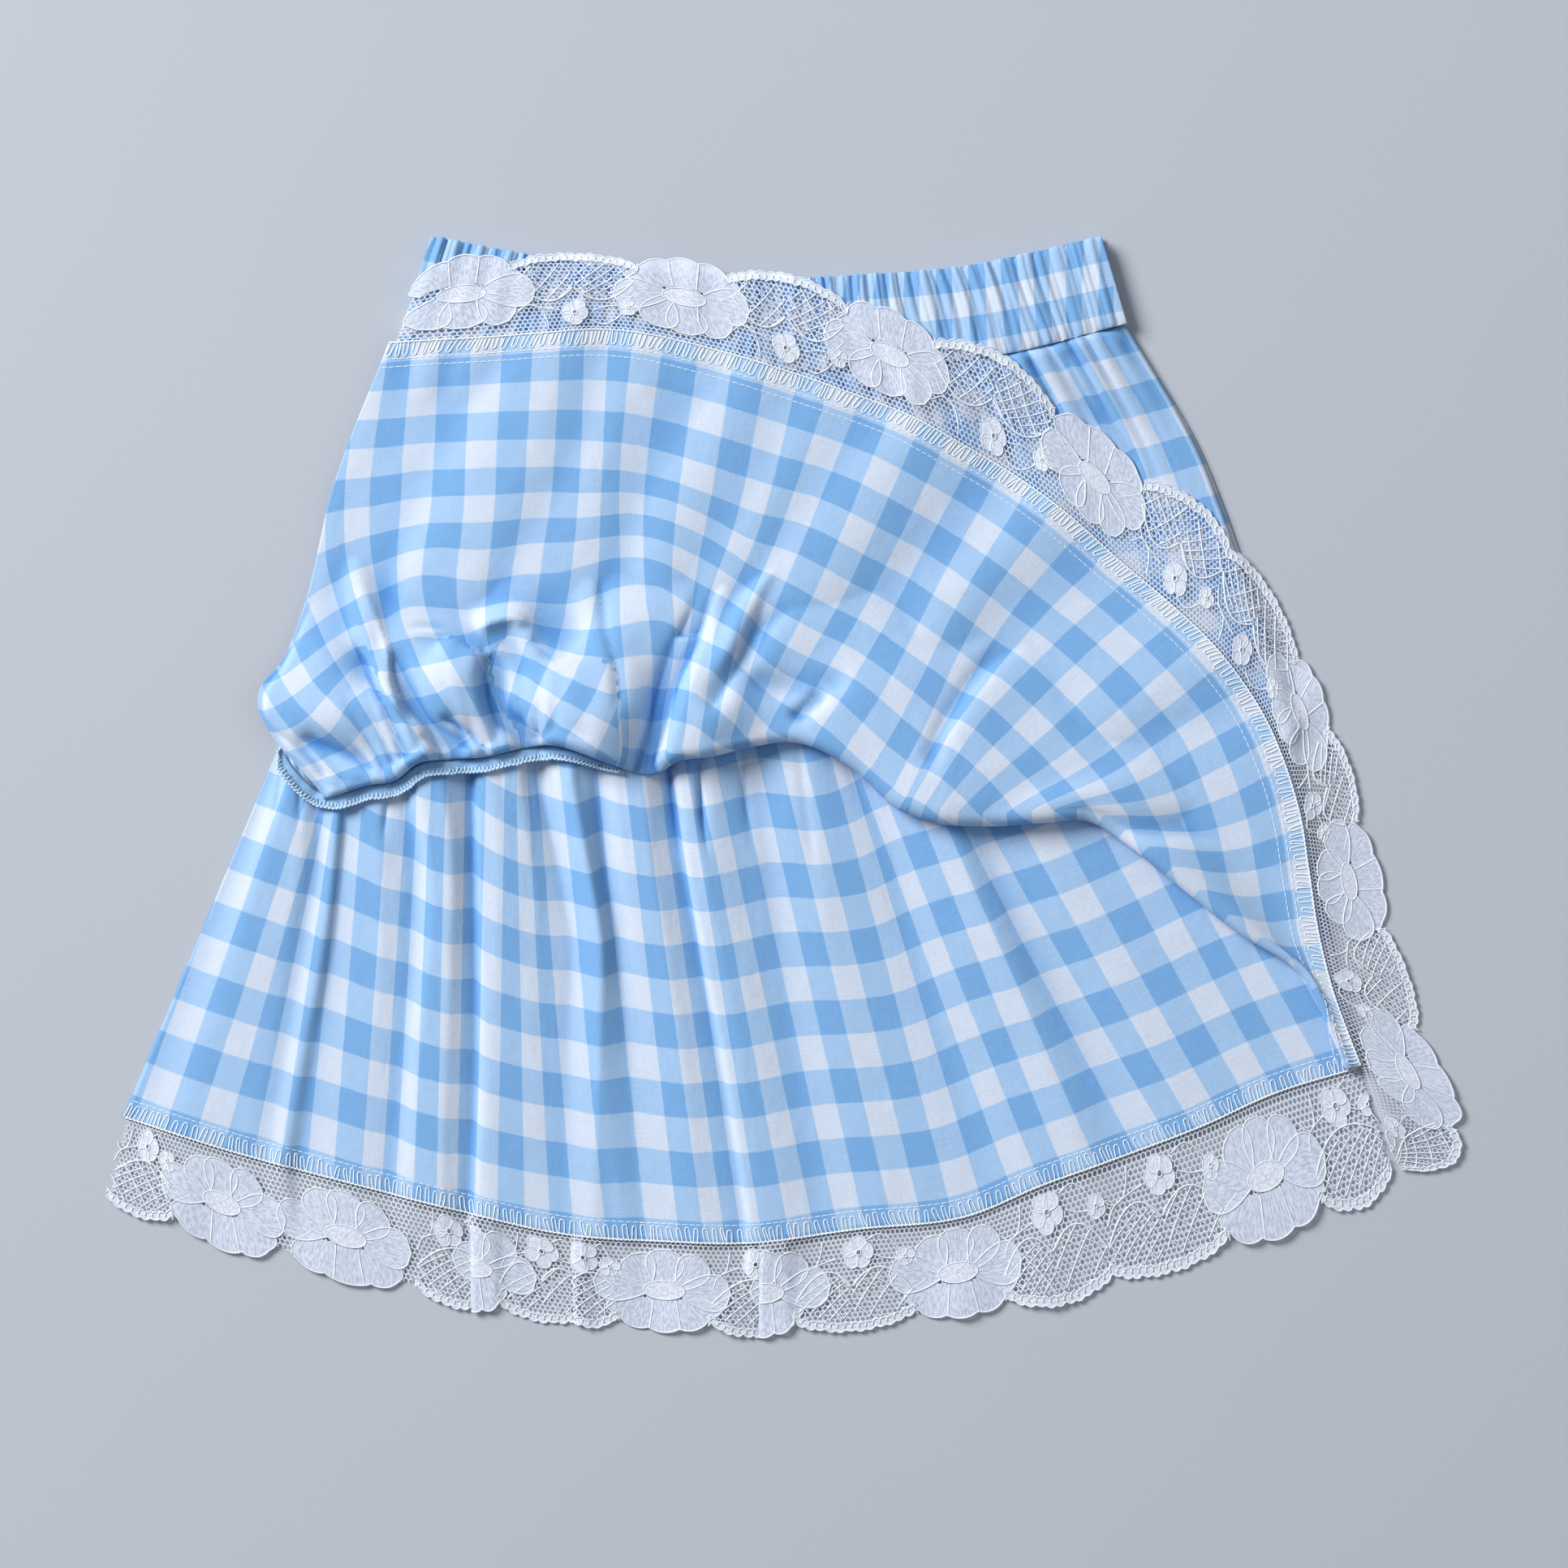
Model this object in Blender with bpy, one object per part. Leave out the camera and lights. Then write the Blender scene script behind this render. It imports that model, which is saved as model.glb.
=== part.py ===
"""A child's two-tier gingham skirt with lace trim, laid flat with its front hem turned up.

The tables below are in millimetres on the floor: +X to the right, +Y towards the waistband,
+Z up. The back of the skirt lies on the floor, the front on top of it, and the front ruffle
is folded up over the front yoke, so its wrong side shows.
"""
import math
from collections import namedtuple

import bpy
import numpy as np
from mathutils import Vector
from mathutils.bvhtree import BVHTree

MM = 0.001

# Driving sizes in millimetres, and how many gathers each seam has
WALL = 1.0
SEAM_GAP = 0.3
LAY_GAP = 0.35
BAND_THICK = 2.8
BAND_GATHERS = 56
BAND_GATHER_HEIGHT = 0.9
YOKE_GATHERS = 30
YOKE_GATHER_HEIGHT = 0.9
YOKE_GATHER_LENGTH = 22.0
YOKE_RISE_LENGTH = 34.0
RUFFLE_GATHERS = 24
RUFFLE_GATHER_HEIGHT = 1.0
RUFFLE_GATHER_LENGTH = 24.0
SCALLOP_PITCH = 33.5
SCALLOP_DEPTH = 5.5
ALLOWANCE_WIDTH = 4.2
CORNER_ALLOWANCE_WIDTH = 2.7
EDGE_ROLL = 4.0
EDGE_COLUMN_WIDTH = 18.0
SIDE_FLAT = 10.0
BACK_REACH = 6.0

# How far round a point of cloth the pieces below it count, and how steeply it comes down
LACE_REACH = 4.6
RUFFLE_REACH = 4.0
TUCK_REACH = 3.0
ALLOWANCE_REACH = 2.5
DRAPE_SLOPE = 0.35
DRAPE_ROUNDS = 12

# How finely each sheet is divided
BACK_COLUMNS = 68
BACK_ROWS = 8
FRONT_COLUMNS = 46
FRONT_SHARES = (0, 0.035, 0.075, 0.13, 0.22, 0.34, 0.46, 0.57, 0.67, 0.76, 0.84, 0.92, 1)
CURL_ROWS = 4
RETURN_ROWS = 2
YOKE_COLUMNS = 52
YOKE_ROWS = 5
LACE_STEP = 4.2
LACE_POINTS = 70
FRONT_LACE_SHARES = (0.0, 0.2, 0.46, 0.73, 1.0)
BACK_LACE_SHARES = (0.0, 0.5, 1.0)

# Waistband edges, left to right: x, y
BAND_TOP = ((-109, 170), (-77, 164), (-45, 159.5), (-10, 157), (20, 158), (56, 161), (97, 170))
BAND_FOOT = ((-119, 138), (-85, 133), (-48, 130), (-10, 128.5), (25, 129), (66, 133.3), (105, 143))

# Yoke sides from the waistband down: share of the height, left x, right x
YOKE_SIDES = (
    (0.00, -117.0, 104.5),
    (0.11, -121.0, 113.0),
    (0.21, -125.0, 120.5),
    (0.31, -129.0, 127.0),
    (0.43, -135.0, 133.0),
    (0.70, -147.0, 144.0),
    (1.00, -152.0, 155.0),
)
# Gather seam between yoke and ruffle on the back: x, y
BACK_SEAM = ((-157, 10.5), (-100, 6), (-30, 5), (40, 6), (100, 9), (155, 14))
# Edge of the cloth folded in under the turned-up front, where it meets the front yoke: x, y
FRONT_SEAM = (
    (-156, 12), (-142, 8), (-128, 11), (-112, 17), (-92, 19), (-80, 21), (-52, 19), (-20, 20),
    (4, 23), (32, 18), (64, 15), (106, 14), (122, 10), (139, -15), (158, -49), (168, -73),
    (174, -85),
)
# The front yoke's lower edge leaves that line here and runs on to its right side: x, y
YOKE_FOOT_RIGHT = ((106, 14), (155, 17))

# Back hem, left to right: x, y
BACK_HEM = (
    (-204, -101), (-171, -111.5), (-135.5, -121), (-96, -131), (-72, -136.5), (-34, -139.5),
    (-15, -140), (23, -135.5), (58, -131), (78, -122.5), (101.5, -114), (129, -103.5),
    (150, -94), (176, -86),
)
# How the back ruffle fans out, left to right: x at the gather seam, x at the hem
BACK_FAN = (
    (-157, -204), (-136, -152), (-117, -118), (-95, -96.5), (-78, -60.5), (-58, -42),
    (-36, -11), (-16, 13), (20, 64), (38, 86), (83, 128), (155, 176),
)

# Front ruffle, one row for each second check of the cloth, from the rolled left edge to the
# side seam at the right: check column, lift of the fold edge, then x, y at the hem, at one
# and two thirds of the way, and at the fold edge
FRONT_GUIDES = (
    (-3, 3.0, (-175.8, 133.0), (-176.5, 88.0), (-170.8, 45.5), (-142.0, -3.2)),
    (-2, 4.0, (-159.5, 135.5), (-158.2, 83.0), (-154.0, 40.5), (-128.2, 1.0)),
    (-1, 4.5, (-141.0, 136.2), (-144.0, 88.0), (-137.5, 46.8), (-120.0, 2.5)),
    (0, 5.0, (-125.5, 137.0), (-132.0, 85.5), (-124.5, 43.0), (-112.2, 8.0)),
    (1, 4.5, (-110.8, 137.8), (-113.2, 95.5), (-115.0, 51.8), (-103.0, 9.0)),
    (2, 5.0, (-91.5, 138.8), (-94.0, 95.5), (-96.8, 51.8), (-92.0, 9.8)),
    (3, 4.0, (-73.0, 140.2), (-76.0, 95.5), (-82.0, 58.0), (-80.0, 12.5)),
    (4, 7.0, (-58.0, 141.2), (-59.5, 98.0), (-63.2, 52.8), (-69.5, 13.0)),
    (5, 7.5, (-42.5, 139.8), (-47.5, 95.5), (-46.5, 50.5), (-52.8, 7.2)),
    (6, 4.5, (-21.0, 134.8), (-27.5, 90.5), (-32.5, 49.2), (-41.2, 4.2)),
    (7, 7.5, (-0.8, 128.8), (-10.8, 83.0), (-24.0, 49.2), (-32.5, 8.5)),
    (8, 8.0, (18.5, 122.2), (3.0, 81.8), (-10.8, 46.8), (-22.0, 10.0)),
    (9, 7.0, (37.5, 115.0), (21.0, 76.0), (5.5, 43.0), (-9.5, 13.0)),
    (10, 6.5, (54.2, 106.0), (37.2, 72.5), (20.5, 40.5), (4.2, 14.0)),
    (11, 8.0, (71.0, 96.0), (51.8, 63.0), (36.0, 31.8), (20.0, 6.5)),
    (12, 9.0, (87.5, 83.8), (65.0, 55.0), (48.0, 24.2), (32.5, -5.0)),
    (13, 9.0, (103.5, 69.5), (80.5, 48.5), (58.0, 23.0), (39.2, -8.2)),
    (14, 8.5, (118.2, 57.0), (94.2, 36.8), (69.2, 11.8), (49.2, -11.0)),
    (15, 8.0, (132.2, 43.5), (108.0, 23.0), (84.2, 4.2), (64.2, -11.5)),
    (16, 7.5, (144.2, 27.5), (121.8, 14.8), (100.5, 0.5), (79.2, -10.5)),
    (17, 6.5, (152.0, 11.8), (133.0, 1.2), (111.8, -7.0), (92.5, -10.0)),
    (18, 6.5, (158.0, -7.0), (139.2, -14.5), (123.0, -17.0), (105.5, -17.8)),
    (19, 6.0, (161.0, -25.0), (148.0, -28.2), (134.2, -30.0), (120.5, -29.8)),
    (20, 5.0, (163.8, -43.5), (155.5, -44.5), (147.5, -45.2), (139.2, -44.5)),
    (21, 3.5, (168.0, -60.8), (165.0, -60.0), (161.5, -59.0), (158.5, -57.2)),
    (22, 2.6, (173.0, -75.0), (171.8, -75.5), (170.0, -76.0), (168.0, -76.5)),
    (22.8, 2.4, (177.0, -85.2), (175.6, -85.6), (174.0, -86.0), (172.2, -86.5)),
)
# Where the rolled left edge cuts the check columns: share from hem to fold edge, column
FRONT_LEFT = ((0, 0.24), (0.33, -0.7), (0.67, -2.0), (0.83, -3.2), (1, -3.0))

# Folds: height, width to the left and right of the path, fade at its start and end, path x, y
Fold = namedtuple("Fold", "height left right fade_in fade_out path")
BACK_FOLDS = (
    Fold(4.0, 1.3, 9.0, 10, 0, ((-136, 4), (-140, -34), (-144.5, -65), (-151.8, -112), (-153, -118))),
    Fold(3.2, 10.0, 3.0, 10, 0, ((-116, 4), (-111, -22), (-112, -57), (-116, -94.5), (-118.5, -124))),
    Fold(4.4, 9.0, 1.5, 8, 0, ((-95, 7), (-95.8, -57), (-96.3, -131))),
    Fold(3.4, 2.5, 7.0, 8, 0, ((-78, 7), (-69.5, -22), (-62, -38), (-59.3, -50), (-60.3, -134))),
    Fold(2.0, 6.0, 5.0, 10, 0, ((-54, 2), (-47, -45), (-40, -85), (-32, -136))),
    Fold(4.4, 9.0, 1.5, 8, 0, ((-35.5, 6), (-28.8, -33), (-21.8, -68), (-16.3, -99.5), (-11, -138))),
    Fold(2.6, 7.0, 5.0, 8, 0, ((-7, 6), (1.3, -30), (7.8, -62), (20.5, -132))),
    Fold(1.6, 8.0, 1.5, 8, 30, ((22, 2), (26, -10), (32.5, -30), (43, -60), (50, -85))),
    Fold(4.0, 3.0, 10.0, 10, 0, ((44, 0), (58, -29.5), (65.5, -44.5), (71.8, -61), (87, -116))),
    Fold(1.6, 12.0, 8.0, 12, 0, ((84, -14), (103, -50), (128, -100))),
)
FRONT_FOLDS = (
    Fold(3.0, 4.0, 5.0, 20, 0, ((-135, 83), (-130, 58), (-127, 39.5), (-120, 21), (-112, 10))),
    Fold(-2.6, 3.5, 3.5, 12, 0, ((-121, 41), (-117, 30), (-111, 20), (-102, 12))),
    Fold(-2.0, 4.0, 4.0, 8, 8, ((-152, 17), (-139, 13), (-126, 6))),
    Fold(2.8, 1.6, 9.0, 6, 6, ((-107, 48), (-101, 44.5), (-96.8, 42.3), (-90, 41.5))),
    Fold(3.0, 3.5, 3.0, 6, 8, ((-96, 47), (-89, 52), (-83.5, 52.5), (-80, 48.5), (-77, 43.5), (-71, 37.8))),
    Fold(-4.5, 3.5, 3.5, 8, 0, ((-90, 41), (-89.5, 34), (-87.5, 24.5), (-82.5, 19), (-76.5, 13))),
    Fold(2.2, 8.0, 8.0, 30, 0, ((-58, 80), (-56.5, 51), (-52, 35), (-52, 24.5), (-58, 11))),
    Fold(-6.0, 3.5, 3.5, 25, 0, ((-21, 66), (-26.5, 52), (-33.5, 35.5), (-37.3, 23), (-43.5, 4))),
    Fold(2.4, 3.5, 3.0, 20, 0, ((-14, 72), (-20, 60), (-26, 46), (-31.5, 33), (-38.5, 10))),
    Fold(-3.4, 4.0, 4.0, 20, 10, ((5.5, 71), (-7, 51.5), (-14, 38.8), (-19.5, 31), (-27, 22))),
    Fold(2.2, 4.0, 4.0, 20, 12, ((2, 88), (1, 76), (-10.5, 57), (-23, 32))),
    Fold(-2.4, 2.5, 2.5, 5, 4, ((13, 31), (8, 26), (1, 20))),
    Fold(-2.0, 4.5, 4.5, 8, 10, ((-16, 34), (-1, 32), (12, 32), (22, 36))),
    Fold(-1.4, 3.0, 3.0, 15, 8, ((78, 52), (60, 37), (49.5, 21.5), (42, 4))),
    Fold(-2.4, 5.0, 4.0, 0, 12, ((94, -11), (110, -12), (124, -12), (139, -10), (153, -9))),
    Fold(-1.0, 3.5, 3.5, 15, 30, ((-57, 136), (-56.5, 93), (-57, 66))),
)

# Lace outer edge along the front, from the left end to the side seam at the lower right:
# check column of the front hem, x, y on the middle line of the scallops
FRONT_LACE = (
    (0.24, -113.5, 158.0), (1.5, -100.5, 162.0), (3.5, -67.0, 163.0), (5.7, -29.5, 161.0),
    (7.3, 5.5, 155.0), (9.2, 42.5, 141.0), (10.6, 68.0, 130.5), (11.8, 88.0, 114.5),
    (13.0, 110.0, 97.5), (14.3, 133.0, 80.5), (15.5, 150.0, 57.0), (16.7, 162.5, 33.0),
    (18.0, 173.0, 5.5), (19.3, 181.5, -24.5), (20.5, 188.5, -52.0), (21.6, 196.5, -75.5),
    (22.8, 203.0, -91.0),
)
# Front lace round the corner: x, y on the side seam, x, y on the outer edge
FRONT_LACE_CORNER = (
    ((178.4, -88.5), (208.2, -103.0)),
    ((180.6, -95.0), (206.5, -112.5)),
    ((183.0, -102.0), (199.0, -116.5)),
    ((185.4, -109.0), (190.5, -116.8)),
)
# Lace outer edge along the back: x at the hem, x, y on the middle line of the scallops
BACK_LACE = (
    (-204, -210, -126), (-190, -191, -133), (-171, -169, -141.5), (-148, -146, -147.5),
    (-122, -121, -153.5), (-97, -96, -159), (-67, -66, -163.5), (-37, -37, -165.5),
    (-7, -7, -167), (20, 21, -165), (50, 53, -161), (80, 85.5, -156.5), (108, 113, -148),
    (132, 138, -140.5), (152, 163, -131.5), (168, 179, -125), (176, 185.4, -119),
)

# Seam allowance of the front, from the left side round the corner: x, y of its inner edge
ALLOWANCE_CORNER = ((-160.2, 12.5), (-156.5, 5.5), (-151.0, 0.5), (-144.5, -3.8))
ALLOWANCE_COLUMNS = (-2.75, 5.2)

GINGHAM = (0.36, 0.60, 0.85, 1.0)
GINGHAM_BACK = (0.46, 0.68, 0.88, 1.0)
LACE_WHITE = (0.88, 0.90, 0.94, 1.0)
THREAD_BLUE = (0.40, 0.60, 0.82, 1.0)
CLOTH_ROUGHNESS = 0.85


def ease(x):
    """Zero up to 0, one from 1 on, smooth between."""
    x = np.clip(x, 0.0, 1.0)
    return x * x * (3.0 - 2.0 * x)


def smooth_rows(knots, rows, at):
    """Rows of a table read between its knots, on a smooth curve through them."""
    knots = np.asarray(knots, float)
    rows = np.asarray(rows, float)
    at = np.atleast_1d(np.asarray(at, float))
    slopes = np.gradient(rows, knots, axis=0)
    left = np.clip(np.searchsorted(knots, at) - 1, 0, len(knots) - 2)
    span = knots[left + 1] - knots[left]
    share = (at - knots[left]) / span
    inside = np.clip(share, 0.0, 1.0)
    beyond = (share - inside) * span
    tail = (-1,) + (1,) * (rows.ndim - 1)
    f = inside.reshape(tail)
    span = span.reshape(tail)
    ends = np.where((share > 1.0).reshape(tail), slopes[left + 1], slopes[left])
    return (
        rows[left] * (2 * f**3 - 3 * f**2 + 1)
        + rows[left + 1] * (3 * f**2 - 2 * f**3)
        + slopes[left] * span * (f**3 - 2 * f**2 + f)
        + slopes[left + 1] * span * (f**3 - f**2)
        + ends * beyond.reshape(tail)
    )


def height_at(edge, x):
    """The y of an edge table at x."""
    edge = np.asarray(edge, float)
    return smooth_rows(edge[:, 0], edge[:, 1], x)


def smooth_path(points, pieces=5):
    """A path through the points, with more points between them."""
    points = np.asarray(points, float)
    passed = np.concatenate([[0], np.cumsum(np.linalg.norm(np.diff(points, axis=0), axis=1))])
    return smooth_rows(passed, points, np.linspace(0, passed[-1], pieces * (len(points) - 1) + 1))


def beside_path(points, path):
    """Distance from a path, positive on its left, length passed along it, and its length."""
    nearest = np.full(len(points), np.inf)
    side = np.zeros(len(points))
    passed = np.zeros(len(points))
    start = 0.0
    for a, b in zip(path[:-1], path[1:]):
        length = np.linalg.norm(b - a)
        run = (b - a) / length
        away = points - a
        along = np.clip(away @ run, 0, length)
        distance = np.linalg.norm(away - along[:, None] * run, axis=1)
        closer = distance < nearest
        nearest[closer] = distance[closer]
        side[closer] = np.where(run[0] * away[:, 1] - run[1] * away[:, 0] >= 0, 1, -1)[closer]
        passed[closer] = start + along[closer]
        start += length
    return nearest * side, passed, start


def relief(folds, points):
    """Height that a table of folds adds at each point."""
    flat = points.reshape(-1, 2)
    total = np.zeros(len(flat))
    for fold in folds:
        offset, passed, length = beside_path(flat, smooth_path(fold.path))
        width = np.where(offset > 0, fold.left, fold.right)
        raised = fold.height * np.exp(-((offset / width) ** 2))
        if fold.fade_in:
            raised *= ease(passed / fold.fade_in)
        if fold.fade_out:
            raised *= ease((length - passed) / fold.fade_out)
        total += raised
    return total.reshape(points.shape[:-1])


def gathers(along, count, seed):
    """Uneven gathers from 0 to 1, as many as count, where along runs from 0 to 1."""
    drift = 0.35 * np.sin(2 * math.pi * (3.1 * along + seed)) + 0.25 * np.sin(7.3 * math.pi * along)
    return 0.5 - 0.5 * np.cos(2 * math.pi * (count * along + drift))


def layer_height(number):
    """Middle of a layer of flat cloth, counted from the floor as 0, 1, 2."""
    return (number + 0.5) * WALL + number * LAY_GAP


def with_height(plan, z):
    """A grid of points from its plan and its heights."""
    return np.concatenate([plan, np.broadcast_to(z, plan.shape[:-1])[..., None]], axis=-1)


def grid_normals(grid):
    """Unit normals of a grid of points, pointing to the side where rows turn to columns."""
    down = np.gradient(grid, axis=0)
    across = np.gradient(grid, axis=1)
    normals = np.cross(down, across)
    return normals / np.linalg.norm(normals, axis=2, keepdims=True)


def put_mesh(name, points, faces, colour):
    """A named object with its own material, from points in millimetres."""
    mesh = bpy.data.meshes.new(name)
    mesh.from_pydata([tuple(p) for p in np.asarray(points) * MM], [], faces)
    mesh.validate()
    material = bpy.data.materials.new(name)
    material.use_nodes = True
    shader = material.node_tree.nodes["Principled BSDF"]
    shader.inputs["Base Color"].default_value = colour
    shader.inputs["Roughness"].default_value = CLOTH_ROUGHNESS
    shader.inputs["Metallic"].default_value = 0.0
    mesh.materials.append(material)
    mesh.shade_smooth()
    thing = bpy.data.objects.new(name, mesh)
    bpy.context.collection.objects.link(thing)
    return thing


def rim(rows, columns):
    """Places of the points round a grid's edge, in order."""
    top = [(0, c) for c in range(columns)]
    right = [(r, columns - 1) for r in range(1, rows)]
    foot = [(rows - 1, c) for c in range(columns - 2, -1, -1)]
    left = [(r, 0) for r in range(rows - 2, 0, -1)]
    return top + right + foot + left


def sheet_solid(name, middle, colour):
    """Cloth of an even wall on both sides of its middle surface."""
    rows, columns = middle.shape[:2]
    out = grid_normals(middle) * WALL / 2
    if out[rows // 3, columns // 2, 2] < 0:
        middle = middle[:, ::-1]
        out = -out[:, ::-1]
    points = np.concatenate([(middle + out).reshape(-1, 3), (middle - out).reshape(-1, 3)])
    under = rows * columns
    faces = []
    for r in range(rows - 1):
        for c in range(columns - 1):
            a = r * columns + c
            quad = (a, a + columns, a + columns + 1, a + 1)
            faces.append(quad)
            faces.append(tuple(under + i for i in reversed(quad)))
    loop = [r * columns + c for r, c in rim(rows, columns)]
    for a, b in zip(loop, loop[1:] + loop[:1]):
        faces.append((a, b, b + under, a + under))
    return put_mesh(name, points, faces, colour)


def slab_solid(name, top, bottom_z, colour):
    """A formed top over a plain flat underside."""
    rows, columns = top.shape[:2]
    foot = top[[0, -1]].copy()
    foot[..., 2] = bottom_z
    points = np.concatenate([top.reshape(-1, 3), foot.reshape(-1, 3)])
    under = rows * columns
    last = (rows - 1) * columns
    faces = []
    for c in range(columns - 1):
        for r in range(rows - 1):
            a = r * columns + c
            faces.append((a, a + columns, a + columns + 1, a + 1))
        faces.append((under + c, under + c + 1, under + columns + c + 1, under + columns + c))
        faces.append((c, c + 1, under + c + 1, under + c))
        faces.append((last + c + 1, last + c, under + columns + c, under + columns + c + 1))
    left = [r * columns for r in range(rows)]
    right = [r * columns + columns - 1 for r in range(rows)]
    faces.append(tuple(reversed(left)) + (under, under + columns))
    faces.append(tuple(right) + (under + 2 * columns - 1, under + columns - 1))
    return put_mesh(name, points, faces, colour)


def trees_of(things):
    """Search trees of finished pieces, in millimetres."""
    trees = []
    for thing in things:
        points = [v.co / MM for v in thing.data.vertices]
        trees.append(BVHTree.FromPolygons(points, [tuple(p.vertices) for p in thing.data.polygons]))
    return trees


def top_below(trees, points, reach):
    """Highest point of the pieces below, within reach of each point in plan."""
    turns = [i * math.pi / 4 for i in range(8)]
    ring = [(0.0, 0.0)] + [(reach * math.cos(a), reach * math.sin(a)) for a in turns]
    ring += [(0.5 * x, 0.5 * y) for x, y in ring[1:]]
    flat = points.reshape(-1, points.shape[-1])
    heights = np.zeros(len(flat))
    for i, point in enumerate(flat):
        for dx, dy in ring:
            start = Vector((point[0] + dx, point[1] + dy, 60.0))
            for tree in trees:
                hit = tree.ray_cast(start, Vector((0, 0, -1)))[0]
                if hit is not None and hit.z > heights[i]:
                    heights[i] = hit.z
    return heights.reshape(points.shape[:-1])


def settle(middle, trees, reach):
    """Cloth lifted clear of the pieces below it, easing off beside them as real cloth does."""
    need = top_below(trees, middle, reach) + LAY_GAP + WALL / 2
    lift = np.maximum(need - middle[..., 2], 0.0)
    steps_down = np.linalg.norm(np.diff(middle[..., :2], axis=0), axis=2) * DRAPE_SLOPE
    steps_across = np.linalg.norm(np.diff(middle[..., :2], axis=1), axis=2) * DRAPE_SLOPE
    for _ in range(DRAPE_ROUNDS):
        lift[1:] = np.maximum(lift[1:], lift[:-1] - steps_down)
        lift[:-1] = np.maximum(lift[:-1], lift[1:] - steps_down)
        lift[:, 1:] = np.maximum(lift[:, 1:], lift[:, :-1] - steps_across)
        lift[:, :-1] = np.maximum(lift[:, :-1], lift[:, 1:] - steps_across)
    settled = middle.copy()
    settled[..., 2] += lift
    return settled


def band_grid(bottom_z, height, gather_height, seed):
    """Top of one half of the elasticated band: its crown with gathers across it.

    The crown's rows are the share of the way down the band and the share of its full height.
    """
    along = np.linspace(0, 1, 2 * BAND_GATHERS + 1)
    top = np.asarray(BAND_TOP, float)
    foot = np.asarray(BAND_FOOT, float)
    knots = np.linspace(0, 1, len(top))
    upper = smooth_rows(knots, top, along)
    lower = smooth_rows(knots, foot, along)
    crest = np.where(np.arange(len(along)) % 2, 1.0, 0.0) * (0.7 + 0.3 * np.sin(9.7 * along + seed))
    crown = ((0.0, 0.45), (0.14, 0.9), (0.8, 1.0), (1.0, 0.62))
    rows = []
    for share, full in crown:
        plan = upper + (lower - upper) * share
        plan[:, 1] += gather_height * 0.6 * crest * (1 if share == 0 else 0)
        z = bottom_z + height * full + gather_height * (crest - 0.5) * full
        rows.append(np.column_stack([plan, z]))
    return np.array(rows)


def waistbands():
    """Back and front halves of the casing, flat on each other."""
    back = band_grid(0.0, BAND_THICK, 0.0, 0.0)
    front_foot = BAND_THICK + SEAM_GAP
    front = band_grid(front_foot, BAND_THICK, BAND_GATHER_HEIGHT, 1.0)
    plain = back[:, ::4]
    return (
        slab_solid("waistband_back", plain, 0.0, GINGHAM_BACK),
        slab_solid("waistband_front", front, front_foot, GINGHAM),
    )


def yoke_plan(foot_edge, columns, rows):
    """Plan of a yoke between the waistband and its lower edge, and the distance below the band."""
    across = np.linspace(0, 1, columns + 1)
    down = np.linspace(0, 1, rows + 1)
    sides = np.asarray(YOKE_SIDES)
    first, last = sides[0, 1:]
    top_line = height_at(BAND_FOOT, first + (last - first) * across) - SEAM_GAP
    grid = np.zeros((rows + 1, columns + 1, 2))
    for r, share in enumerate(down):
        left, right = smooth_rows(sides[:, 0], sides[:, 1:], share)[0]
        x = left + (right - left) * across
        grid[r, :, 0] = x
        grid[r, :, 1] = top_line * (1 - share) + foot_edge(x) * share
    return grid, across, grid[:1, :, 1] - grid[..., 1]


def yokes():
    """Back yoke flat on the floor, front yoke on it, rising to the band with small gathers."""
    plan, _, _ = yoke_plan(lambda x: height_at(BACK_SEAM, x) + SEAM_GAP, 18, 4)
    back = sheet_solid("yoke_back", with_height(plan, layer_height(0)), GINGHAM_BACK)

    def front_foot(x):
        inner = height_at(FRONT_SEAM, x)
        outer = height_at(YOKE_FOOT_RIGHT, x)
        return np.where(x < YOKE_FOOT_RIGHT[0][0], inner, outer) + SEAM_GAP

    plan, across, below = yoke_plan(front_foot, YOKE_COLUMNS, YOKE_ROWS)
    low = layer_height(1)
    high = BAND_THICK + SEAM_GAP + WALL
    side = ease(np.minimum(across, 1 - across) * (plan[0, -1, 0] - plan[0, 0, 0]) / SIDE_FLAT)
    z = low + (high - low) * (1 - ease(below / YOKE_RISE_LENGTH)) * side
    puckers = gathers(across, YOKE_GATHERS, 0.4) * np.exp(-below / YOKE_GATHER_LENGTH)
    z[1:] += (YOKE_GATHER_HEIGHT * puckers * side)[1:]
    return back, sheet_solid("yoke_front", with_height(plan, z), GINGHAM)


def front_plan(columns, shares):
    """Plan of the turned-up ruffle: x, y for each share from hem to fold edge, and its columns."""
    guide_columns = [row[0] for row in FRONT_GUIDES]
    left = np.asarray(FRONT_LEFT)
    spread = np.linspace(0, 1, columns + 1)
    spread = np.concatenate([[0.0, 0.006, 0.018], spread[1:]])
    grid = []
    cloth = []
    for share in shares:
        first = float(smooth_rows(left[:, 0], left[:, 1], share)[0])
        at = first + (guide_columns[-1] - first) * spread
        marks = [smooth_rows((0, 1 / 3, 2 / 3, 1), row[2:], share)[0] for row in FRONT_GUIDES]
        grid.append(smooth_rows(guide_columns, marks, at))
        cloth.append(at)
    return np.array(grid), np.array(cloth)


def fold_edge():
    """Points along the lower edge of the turned-up front."""
    columns = np.linspace(FRONT_GUIDES[0][0], FRONT_GUIDES[-1][0], 120)
    return smooth_rows([row[0] for row in FRONT_GUIDES], [row[5] for row in FRONT_GUIDES], columns)


def outward(points):
    """Unit directions to the right of a line of points in plan."""
    run = np.gradient(points, axis=0)
    run /= np.linalg.norm(run, axis=1, keepdims=True)
    return np.column_stack([run[:, 1], -run[:, 0]])


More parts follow.
